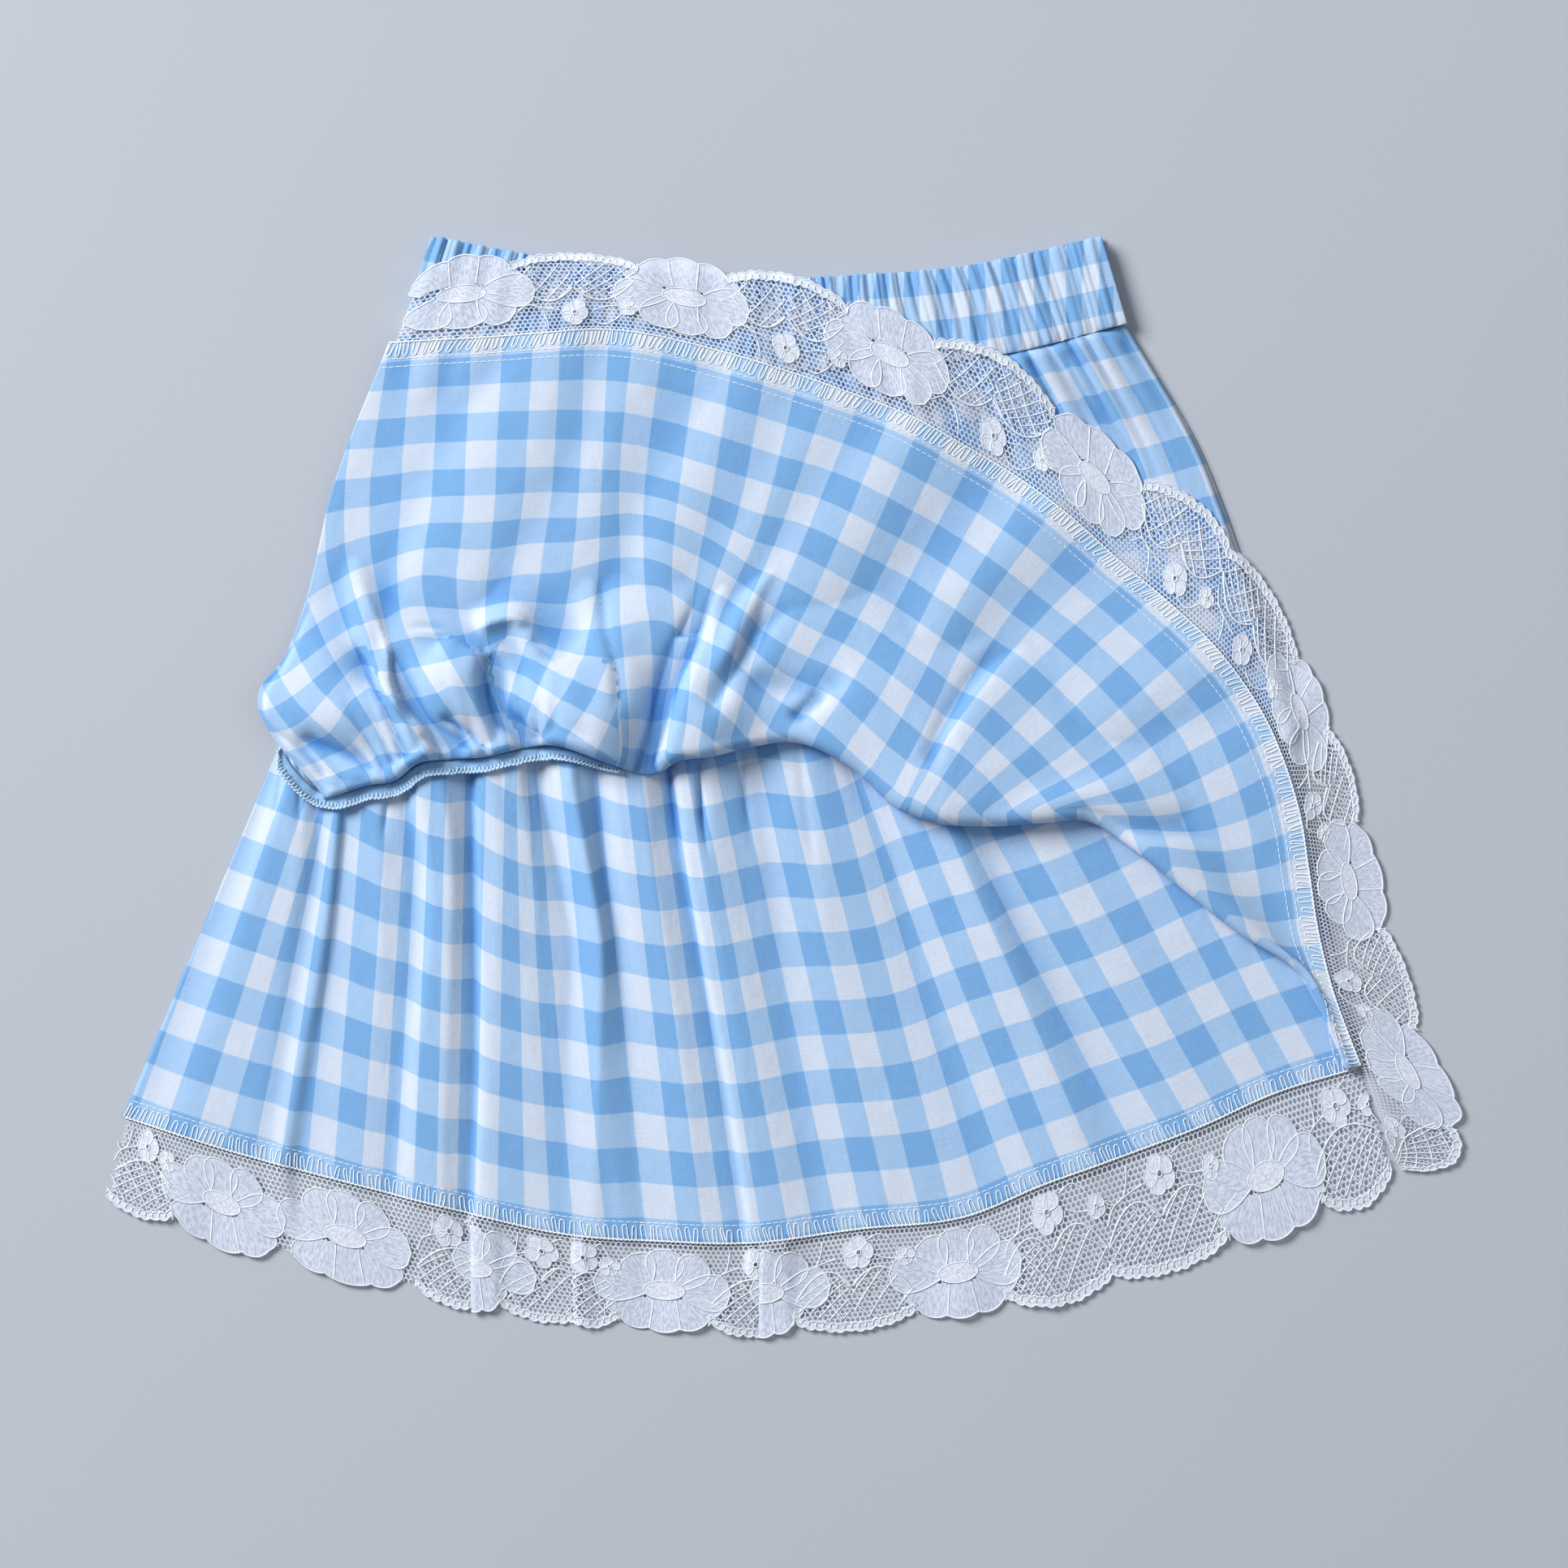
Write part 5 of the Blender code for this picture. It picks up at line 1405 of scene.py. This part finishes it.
    def leaf(self, base, tip, half, rise, material=1, outline=0.27, full=0.64):
        """A rounded petal from its base to its tip, with its outline cord."""
        base = np.asarray(base, float)
        run = np.asarray(tip, float) - base
        length = np.linalg.norm(run)
        run = run / length
        along = np.linspace(0, 1, 13)
        fore = np.sqrt(np.clip(1 - ((along - full) / (1.0 - full)) ** 2, 0, 1))
        aft = 0.32 + 0.68 * np.sin(math.pi / 2 * np.clip(along / full, 0, 1))
        width = half * np.where(along > full, fore, aft)
        across = np.linspace(-1, 1, 9)
        x = (along * length)[:, None] * np.ones(9)
        y = width[:, None] * across
        s = base[0] + x * run[0] - y * run[1]
        t = base[1] + x * run[1] + y * run[0]
        t = np.clip(t, 0.4, self.edge(s) + 0.6)
        if s.min() < 0.5 or s.max() > self.length - 0.5:
            return
        uv = np.stack([x, y], axis=-1) * 0.1 + base[0] * 0.37
        self.patch(s, t, rise, material, uv)
        places = np.stack([s, t], axis=-1)
        ring = np.concatenate([places[:, 0], places[-1:, 4], places[::-1, -1]])
        self.cord(ring, outline, rise + 0.05)

    def fan(self, sc, tc, first, last, rise):
        """The open side of a flower, from its centre to the scallop's edge."""
        across = np.linspace(-1, 1, 41)
        s_edge = first + (last - first) * (across + 1) / 2
        shares = np.linspace(0.0, 1, 14)[:, None]
        t_edge = self.edge(s_edge) + 0.35 - 1.5 * np.abs(across) ** 6
        start_s = sc + 0.72 * (s_edge - sc)
        start_t = tc + 0.8 + 2.4 * np.sqrt(1 - across ** 2)
        swell = 1 + 0.35 * np.sin(math.pi * shares) * np.abs(across) ** 3
        s = sc + (start_s + (s_edge - start_s) * shares - sc) * swell
        t = start_t + (t_edge - start_t) * shares ** 0.9
        ribs = np.stack(np.broadcast_arrays(shares + 0.37 * sc, 0.1 * (last - first) / 2 * across), axis=-1)
        self.patch(s, t, rise, 1, ribs)
        self.cord(np.column_stack([s_edge, t_edge]), 0.30, rise + 0.04)
        for k in (0, 14, 27, 40):
            self.cord(np.column_stack([s[:, k], t[:, k]]), 0.26, rise + 0.04)

    def flower(self, first, last, rng):
        """A fan of petals along the scallop's edge, with rounded petals towards the sewn edge."""
        sc = (first + last) / 2
        tc = FLOWER_DEPTH
        size = FLOWER_SIZE
        reach = min((last - first) / 2 + 0.5, FAN_REACH)
        self.fan(sc, tc, sc - reach, sc + reach, 0.08)
        for k, (base, tip, half) in enumerate(FLOWER_INNER):
            wobble = rng.uniform(-0.5, 0.5, 2)
            start = (sc + base[0] * size, tc + base[1])
            end = (sc + tip[0] * size + wobble[0], tc + tip[1] + wobble[1])
            self.leaf(start, end, half * size, 0.10 + 0.02 * k)
        turn = np.linspace(0, 2 * math.pi, 25)
        rings = np.linspace(0.05, 1.0, 5)[:, None]
        s = sc + 5.6 * size * rings * np.cos(turn)
        t = tc + 2.9 * rings * np.sin(turn)
        self.patch(s, t, 0.22, 2)
        ring = np.column_stack([sc + 5.7 * size * np.cos(turn), tc + 3.0 * np.sin(turn)])
        self.cord(ring, 0.22, 0.26)

    def posy(self, sc, tc, radius, turn, rng):
        """A small flower with five petals."""
        for k in range(5):
            angle = turn + 2 * math.pi * k / 5 + rng.uniform(-0.2, 0.2)
            way = np.array([math.cos(angle), math.sin(angle)])
            reach = radius * rng.uniform(0.8, 1.05)
            base = (sc + 0.15 * radius * way[0], tc + 0.15 * radius * way[1])
            tip = (sc + reach * way[0], tc + reach * way[1])
            self.leaf(base, tip, radius * 0.44, 0.16 + 0.03 * k, 2, 0.18, 0.55)
        ring = np.linspace(0, 2 * math.pi, 13)
        eye = np.column_stack([sc + 0.16 * radius * np.cos(ring), tc + 0.16 * radius * np.sin(ring)])
        self.cord(eye, 0.25, 0.4)

    def veined(self, first, last, turned):
        """A veined leaf under an arch's band: its crown, long veins and shorter ones across them."""
        wide = last - first

        def crown(x):
            return CROWN + CROWN_BEND * (x / wide - 0.56) ** 2

        def vein(x, t, radius):
            s = first + (wide - x if turned else x)
            low = self.edge(s) - 2.1
            keep = (t < low) & (t > crown(x) - 0.1) & (x > 0) & (x < wide)
            if keep.sum() > 2:
                self.cord(np.column_stack([s, t])[keep], radius, 0.2)

        x = np.linspace(0.2, wide - 0.2, 16)
        vein(x, crown(x), 0.32)
        run = np.linspace(0, 24, 17)
        for start in np.arange(0.4, wide - 2.0, VEIN_SPACE):
            vein(start + 0.74 * run - 0.006 * run ** 2, crown(start) + 0.68 * run + 0.006 * run ** 2, 0.25)
        for start in np.arange(1.6 - wide / 2, wide, VEIN_SPACE):
            vein(start + 0.70 * run, 26.0 - 0.72 * run + 0.008 * run ** 2, 0.22)

    def arch(self, first, last):
        """One veined leaf under a short band, two facing each other under a long one."""
        if last - first > LEAF_WIDE:
            middle = first + 0.48 * (last - first)
            self.veined(first, middle, False)
            self.veined(middle, last, True)
        else:
            self.veined(first, last, False)

    def joins(self, first, last):
        """Cords that tie an arch's posy to the flowers beside it."""
        sc = (first + last) / 2
        wide = (last - first) / SCALLOP_PITCH
        for path in JOIN_PATHS:
            path = np.array(path, float)
            path[:, 0] = sc + path[:, 0] * wide
            self.cord(path, 0.24, 0.18, 5)

    def fill(self, seed):
        """The whole strip, scallop by scallop."""
        rng = np.random.default_rng(seed)
        self.net()
        for k, kind in enumerate(self.kinds):
            first, last = self.ends[k], self.ends[k + 1]
            if kind == "A":
                self.border(max(first - 0.8, 0.4), min(last + 0.8, self.length - 0.4))
                self.arch(first, last)
                self.joins(first, last)
                self.posy((first + last) / 2 + rng.uniform(-2, 2), 6.4, 5.2, rng.uniform(0, 1.2), rng)
                self.posy(last - 2.0, 8.6, 3.3, rng.uniform(0, 1.2), rng)
        for k, kind in enumerate(self.kinds):
            if kind == "F":
                self.flower(self.ends[k], self.ends[k + 1], rng)

    def put(self, name, materials, thread):
        lace = put_mesh(name, np.concatenate(self.points), self.sets, materials, np.concatenate(self.uv))
        return lace, self.cords.put(name + "_cords", thread)


def heights_beside(line, row):
    """Height of the nearest point of a row to each point of a line in plan."""
    away = np.linalg.norm(line[:, None] - row[None, :, :2], axis=2)
    return row[np.argmin(away, axis=1), 2]


def front_lace(ground, hem_row):
    """Lace on the front hem, over the waistband and down the right side."""
    table = np.asarray(FRONT_LACE, float)
    columns = np.linspace(table[0, 0], table[-1, 0], 160)
    hem = guided(HEM_POINT, columns)
    hem = hem - outward(hem) * SEAM_GAP
    outer = smooth_rows(table[:, 0], table[:, 1:], columns)
    corner = np.array(FRONT_LACE_CORNER, float)
    hem = np.concatenate([hem, smooth_path(np.concatenate([hem[-2:], corner[:, 0]]), 6)[7:]])
    outer = np.concatenate([outer, smooth_path(np.concatenate([outer[-2:], corner[:, 1]]), 6)[7:]])
    passed = lengths(outer)
    at = np.linspace(0, passed[-1], LACE_GRID[1])
    inner = read_line(hem, passed, at)
    outside = read_line(outer, passed, at)
    shares = np.linspace(0, LACE_REACH, LACE_GRID[0])
    plan = inner[None] + (outside - inner)[None] * shares[:, None, None]
    wave = 0.55 + 0.45 * noise_row(at / at[-1], 0.022, 21)
    z = 0.45 + 1.1 * wave[None] * ease(shares[:, None] / 0.9)
    grid = settle(with_height(plan, z), ground, 1.2, gap=0.3, wall=0.3)
    heights = grid[..., 2]
    raised = np.maximum(heights_beside(inner, hem_row) - 0.1 - heights[0], 0)
    heights = heights + raised[None] * (1 - ease(shares[:, None] / 0.9))

    def lift(along, share):
        i = np.clip(share / shares[-1] * (len(shares) - 1), 0, len(shares) - 1.001)
        j = np.clip(along / passed[-1] * (len(at) - 1), 0, len(at) - 1.001)
        r, c = i.astype(int), j.astype(int)
        return read_grid(heights, r, c, i - r, j - c)

    def flat(s, share):
        return s, 0.0 * s

    return Lace(inner, outside, passed[-1], flat, lift, FRONT_SCALLOPS)


# Pleats that the back lace lies in: length along it, width at the hem, width at its outer edge
BACK_PLEATS = ((118.0, 3.0, 8.0), (150.0, 4.0, 1.5), (207.0, 9.0, 4.5))


def back_lace(hem_row):
    """Lace on the back hem, flat on the floor but for its pleats and its wavy edge."""
    table = np.asarray(BACK_LACE, float)
    x = np.linspace(table[0, 0], table[-1, 0], 160)
    hem = np.column_stack([x, height_at(BACK_HEM, x) - SEAM_GAP])
    outer = smooth_rows(table[:, 0], table[:, 1:], x)
    passed = lengths(outer)
    at = np.linspace(0, passed[-1], LACE_GRID[1])
    inner = read_line(hem, passed, at)
    outside = read_line(outer, passed, at)
    extra = sum(2 * max(pleat[1:]) for pleat in BACK_PLEATS)

    def place(s, share):
        along = s.copy()
        layer = np.zeros(s.shape)
        used = 0.0
        for start, top, foot in BACK_PLEATS:
            wide = max(top, foot)
            width = top + (foot - top) * share
            local = s - (start + used)
            forward = np.clip(local, 0, wide) * width / wide
            back = np.clip(local - wide, 0, wide) * width / wide
            here = (local > 0) & (local <= 2 * wide)
            along = np.where(local > 0, s - np.clip(local, 0, 2 * wide) - used + forward - back, along)
            along = np.where(local > 2 * wide, s - used - 2 * wide, along)
            layer = np.where(here & (local <= wide), 0.0, layer)
            layer = np.where(here & (local > wide), 0.45 * np.clip((local - wide) / 1.5, 0, 1), layer)
            beyond = local - 2 * wide
            over = np.clip(beyond / 1.5, 0, 1) * np.clip((wide + 3.0 - beyond) / 3.0, 0, 1)
            layer = np.where(local > 2 * wide, np.maximum(layer, 0.45 + 0.5 * over), layer)
            layer = layer * np.where(local > 2 * wide, np.clip((wide + 4.0 - beyond) / 4.0, 0, 1), 1.0)
            used += 2 * wide
        return along, layer

    wave = 0.5 + 0.5 * noise_row(at / at[-1], 0.03, 33)
    raised = heights_beside(inner, hem_row) - layer_height(0)

    def lift(along, share):
        out = ease(np.asarray(share) / 0.9)
        edge = 1.5 * np.interp(along, at, wave) * out ** 1.5
        return 0.35 + edge + np.interp(along, at, raised) * (1 - out)

    return Lace(inner, outside, passed[-1] + extra, place, lift, BACK_SCALLOPS)


def overlock(strip, seed):
    """Overlock along a hem: needle threads across the band and a looped chain on the edge."""
    threads = Threads()
    rng = np.random.default_rng(seed)
    s = 0.6
    path = []
    while s < strip.length - 0.8:
        wide = STITCH_PITCH * rng.uniform(0.7, 1.3)
        lean = rng.uniform(-0.8, 0.8)
        deep = HEM_BAND - 0.35 + rng.uniform(-0.7, 0.25)
        path += [(s + lean, 0.3), (s + lean * 0.5, 1.6), (s, deep - 0.8), (s + 0.08 * wide, deep - 0.1)]
        path += [(s + 0.24 * wide, deep + 0.1), (s + 0.40 * wide, deep - 0.1)]
        path += [(s + 0.46 * wide, deep - 0.8), (s + 0.46 * wide + lean * 0.4, 1.6)]
        path += [(s + k * wide + lean, rise) for k, rise in ((0.48, 0.3), (0.62, -0.1), (0.86, -0.1))]
        s += wide
    path = np.array(path)
    pieces = np.array_split(path, max(len(path) // 400, 1))
    for k, piece in enumerate(pieces):
        if k:
            piece = np.concatenate([pieces[k - 1][-1:], piece])
        rise = CLOTH_WALL / 2 + 0.14 + 0.05 * np.sin(piece[:, 0] * 7)
        threads.add(strip.at(piece[:, 0], piece[:, 1], rise), THREAD, 4, 0.9)
    s = np.arange(0.2, strip.length - 0.2, 0.36)
    chain = 0.25 * np.sin(s * 4 * math.pi / STITCH_PITCH)
    rise = CLOTH_WALL / 2 + 0.15 + 0.12 * np.cos(s * 4 * math.pi / STITCH_PITCH)
    threads.add(strip.at(s, chain, rise), THREAD * 1.6, 5)
    return threads


def chain_edge(strip):
    """Fuzzy overlock along a raw edge: close loops over it and loose fibres."""
    threads = Threads()
    rng = np.random.default_rng(23)
    s = np.arange(0.4, strip.length - 0.4, 0.22)
    turn = s * 2 * math.pi / 1.25
    depth = 0.9 + 0.95 * np.sin(turn) + 0.2 * rng.normal(size=len(s))
    rise = CLOTH_WALL / 2 + 0.18 + 0.15 * np.cos(turn)
    threads.add(strip.at(s + 0.3 * np.cos(turn), depth, rise), 0.26, 4)
    rise = CLOTH_WALL / 2 + 0.08 + 0.2 * np.cos(turn + 1.5)
    threads.add(strip.at(s, 0.1 + 0.3 * np.sin(turn + 0.8), rise), 0.34, 4)
    for at in np.arange(0.8, strip.length - 0.8, 0.3):
        start = np.array([at, rng.uniform(0.0, 1.8)])
        reach = rng.uniform(-0.7, 0.7, 2)
        fibre = start + np.linspace(0, 1, 4)[:, None] * reach
        lift = CLOTH_WALL / 2 + np.array([0.0, 0.3, 0.4, 0.25])
        along = np.clip(fibre[:, 0], 0.3, strip.length - 0.3)
        threads.add(strip.at(along, np.maximum(fibre[:, 1], 0.0), lift), 0.06, 3)
    return threads


# A straight stitch, and from one to the next
STITCH_LENGTH = 1.7
STITCH_SPACE = 2.2
# How far in the dashed rows of a hem lie: the back has only the first
HEM_STITCHES = (5.6, 8.4)


def stitch_line(threads, strip, depth):
    """A row of straight stitches at one depth."""
    s = 1.0
    while s + STITCH_LENGTH < strip.length:
        at = np.linspace(s, s + STITCH_LENGTH, 4)
        rise = CLOTH_WALL / 2 + np.array([-0.05, 0.1, 0.1, -0.05])
        threads.add(strip.at(at, np.full(4, depth), rise), 0.15, 4, 0.8)
        s += STITCH_SPACE


# Fine creases: height, width to the left and right, fade at start and end, path x, y
BACK_CREASES = (
    Fold(-2.0, 1.2, 3.0, 0, 18, ((-38, 14), (-36.5, 6.8), (-34, -7), (-32, -22))),
    Fold(-2.4, 1.4, 1.4, 0, 16, ((-27, 14), (-26.5, 5.5), (-25.5, -9.5), (-23.5, -22))),
    Fold(-1.4, 2.0, 2.0, 0, 20, ((-13.5, 14), (-12.5, -2), (-10, -22))),
    Fold(-1.2, 2.4, 2.4, 0, 24, ((4, 14), (6, -5), (10, -34))),
    Fold(-1.2, 1.4, 1.4, 0, 14, ((-122, 8), (-123, -8), (-125, -20))),
    Fold(-1.3, 1.2, 1.2, 0, 10, ((-155, 14), (-155.5, 4), (-158, -12))),
    Fold(-1.3, 1.2, 1.2, 0, 10, ((-150, 14), (-149.5, 2), (-150, -14))),
    Fold(-1.2, 1.2, 1.2, 0, 10, ((-145, 14), (-144, 0), (-144.5, -10))),
)
FRONT_CREASES = (
    Fold(-5.0, 1.8, 4.0, 12, 2, ((-132.8, 47), (-127.8, 35.5), (-124, 27.5), (-119.5, 18.5), (-115, 9.3))),
    Fold(3.0, 2.2, 3.0, 20, 8, ((-132, 66.5), (-127, 55.5), (-122.5, 43), (-120.8, 30.5), (-117, 20.5))),
    Fold(-4.5, 2.2, 1.4, 6, 3, ((-120.8, 43), (-119.5, 35.5), (-116.3, 28.5), (-112.8, 23), (-105.8, 17.3),
                                (-97, 12.5))),
    Fold(-3.4, 1.8, 1.2, 4, 2, ((-106, 22.5), (-99.5, 18.8), (-94.5, 15), (-91.3, 11.8))),
    Fold(-2.0, 1.2, 1.2, 4, 2, ((-113, 17), (-108, 13.5), (-104, 9.5))),
    Fold(-4.5, 1.6, 2.4, 4, 3, ((-90.5, 41.8), (-90, 33.5), (-88.3, 26), (-85.8, 21), (-81.5, 17.5),
                                (-78.3, 15.5))),
    Fold(-2.4, 1.0, 3.0, 6, 3, ((-116, 48.5), (-107, 48.5), (-100.8, 45.3), (-97, 43.5), (-90.8, 41.8))),
    Fold(1.6, 1.4, 2.0, 4, 4, ((-95, 49.5), (-87, 52.3), (-82, 52.3), (-79.5, 48), (-77, 43.8))),
    Fold(-2.0, 2.0, 0.9, 3, 6, ((-81.5, 51), (-79, 47), (-76.4, 43.2), (-69, 38))),
    Fold(-2.0, 2.6, 0.9, 20, 8, ((-57, 80), (-56.8, 58), (-55.5, 48), (-52.8, 39.3), (-51.5, 30.5),
                                 (-51.5, 21.8))),
    Fold(-1.8, 1.4, 1.4, 3, 3, ((-160.8, 21), (-152, 14.3), (-145.8, 9.3), (-140.8, 3))),
    Fold(-1.8, 1.4, 1.4, 4, 3, ((-149.5, 16), (-139.5, 12.5), (-132, 9.3), (-125.8, 6))),
    Fold(-6.0, 1.0, 3.0, 14, 0, ((-26.5, 53), (-29.5, 43), (-32.5, 35.5), (-35.8, 28), (-38.3, 20.5),
                                 (-41.3, 11.8), (-44, 4.3))),
    Fold(-0.9, 1.2, 2.5, 12, 6, ((1, 66), (-7, 52), (-13, 41), (-19, 30), (-24, 23))),
)
YOKE_FOLDS = (
    Fold(-1.5, 1.6, 1.6, 6, 10, ((84.2, 137), (90.3, 124), (97.2, 113.3), (104, 105.7), (110, 98))),
    Fold(-1.6, 1.6, 1.6, 4, 10, ((103.3, 139.3), (112.5, 127.1), (120.1, 111.8), (127.8, 96.5), (133, 84))),
    Fold(-1.2, 1.6, 1.6, 4, 8, ((63, 131), (72, 119), (82, 108))),
    Fold(-1.0, 1.4, 1.4, 3, 8, ((74, 133.5), (80, 124), (86.5, 116))),
)


def stands_for(thing, slot, *nodes):
    """A piece, with the solids that it stands for hidden if there are any. Its slot is not used."""
    if nodes:
        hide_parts(*nodes)
    return thing


def build():
    """All pieces, from the floor up."""
    check = gingham("gingham_check")
    check_band = gingham("gingham_band", 0.97)
    blue_thread = yarn("overlock_blue", (0.58, 0.77, 0.96, 1.0), 900.0)
    white_thread = yarn("overlock_white", THREAD_WHITE, 900.0)
    net_thread = yarn("net_thread", (0.74, 0.80, 0.91, 1.0), 1500.0)
    cord_thread = yarn("lace_cord", LACE_WHITE, 1200.0)
    petal = petal_lace("lace_petal", PETAL_WHITE, 0.66, (5.0, 16.0, 1.0))
    dense = petal_lace("lace_dense", DENSE_WHITE, 0.72, (12.0, 12.0, 1.0))

    ground = Ground()
    middle, uv = back_yoke()
    yoke_back = stands_for(cloth("skirt_yoke_back", middle, uv, check), "gingham", "yoke_back")
    ground.lay(middle)
    back, back_uv = back_ruffle()
    ruffle_back = stands_for(cloth("skirt_ruffle_back", back, back_uv, check), "gingham", "ruffle_back")
    ground.lay(back)
    lace = back_lace(back[0])
    lace.fill(5)
    lace_back, back_cords = lace.put("skirt_lace_back", [net_thread, petal, dense], cord_thread)
    stands_for(lace_back, "lace", "lace_back")
    stands_for(back_cords, "lace")

    back_ground = Ground()
    back_ground.top = ground.top.copy()
    allowance, allowance_uv = seam_allowance(ground)
    blue_cotton = yarn("allowance_cotton", (0.30, 0.53, 0.82, 1.0), 700.0)
    seam = cloth("skirt_seam_allowance", allowance, allowance_uv, blue_cotton)
    stands_for(seam, "overlock_thread", "seam_allowance_front")
    band, band_uv = waistband(0.0, 11)
    band_back = closed_cloth("skirt_waistband_back", band, band_uv, check_band)
    stands_for(band_back, "gingham", "waistband_back")
    ground.lay(band[:BAND_UPPER])
    middle, uv = front_yoke(ground)
    yoke_front = stands_for(cloth("skirt_yoke_front", middle, uv, check), "gingham", "yoke_front")
    ground.lay(middle)
    band, band_uv = waistband(BAND_THICK + SEAM_GAP, 4)
    band_front = closed_cloth("skirt_waistband_front", band, band_uv, check_band)
    stands_for(band_front, "gingham", "waistband_front")
    ground.lay(band[:BAND_UPPER])
    front, front_uv = front_ruffle(ground, back_ground)
    ruffle_front = stands_for(cloth("skirt_ruffle_front", front, front_uv, check), "gingham", "ruffle_front")
    lace = front_lace(ground, front[0])
    lace.fill(8)
    lace_front, front_cords = lace.put("skirt_lace_front", [net_thread, petal, dense], cord_thread)
    stands_for(lace_front, "lace", "lace_front")
    stands_for(front_cords, "lace")

    back_hem = hem_strip(back, HEM_DEPTHS)
    threads = overlock(back_hem, 3)
    stitch_line(threads, back_hem, HEM_STITCHES[0])
    back_stitches = stands_for(threads.put("skirt_overlock_back", white_thread), "overlock_thread")
    front_hem = hem_strip(front[:HEM_ROWS], HEM_DEPTHS)
    threads = overlock(front_hem, 13)
    for depth in HEM_STITCHES:
        stitch_line(threads, front_hem, depth)
    front_stitches = stands_for(threads.put("skirt_overlock_front", white_thread), "overlock_thread")

    edge = Strip(allowance[::-1], np.linspace(0, ALLOWANCE_WIDTH, len(allowance)))
    seam_stitches = stands_for(chain_edge(edge).put("skirt_overlock_seam", blue_thread), "overlock_thread")


# Studio in millimetres: half the floor's side, its level, the camera's height, the width that it
# sees, and its sensor
FLOOR_HALF = 3000
FLOOR_LEVEL = -0.15
CAMERA_HEIGHT = 2200.0
VIEW_WIDTH = 483.0
SENSOR = 36.0
# Where the camera stands and what the lamps point at, in metres
CAMERA_PLACE = (-0.0005, 0.0015, CAMERA_HEIGHT * MM)
LAMP_AIM = (0.0, 0.02, 0.0)


def studio():
    """Pale floor, one big soft light from the upper left, and a camera straight above."""
    corners = ((-1, -1), (1, -1), (1, 1), (-1, 1))
    points = np.array([(x * FLOOR_HALF, y * FLOOR_HALF, FLOOR_LEVEL) for x, y in corners], float)
    mesh = bpy.data.meshes.new("studio_floor")
    mesh.from_pydata([tuple(p) for p in points * MM], [], [(0, 1, 2, 3)])
    mesh.materials.append(painted_floor())
    floor = linked("studio_floor", mesh)

    def lamp(name, place, size, power, colour):
        light = bpy.data.lights.new(name, "AREA")
        light.shape = "DISK"
        light.size = size
        light.energy = power
        light.color = colour
        thing = linked(name, light)
        thing.location = place
        aim = Vector(LAMP_AIM) - Vector(place)
        thing.rotation_euler = aim.to_track_quat("-Z", "Y").to_euler()

    lamp("key_light", (-2.5, 1.75, 2.25), 1.9, 190.0, (1.0, 0.985, 0.975))
    lamp("fill_light", (1.5, 0.2, 1.9), 2.4, 7.0, (0.97, 0.98, 1.0))
    world = bpy.data.worlds.new("studio_world")
    world.use_nodes = True
    back = world.node_tree.nodes["Background"]
    back.inputs["Color"].default_value = (0.87, 0.94, 1.0, 1.0)
    back.inputs["Strength"].default_value = 0.21
    bpy.context.scene.world = world

    camera = bpy.data.cameras.new("camera")
    camera.sensor_width = SENSOR
    camera.lens = SENSOR * CAMERA_HEIGHT / VIEW_WIDTH
    camera.clip_end = 20.0
    thing = linked("camera", camera)
    thing.location = CAMERA_PLACE
    bpy.context.scene.camera = thing
    bpy.context.scene.view_settings.view_transform = "Standard"


build()
studio()
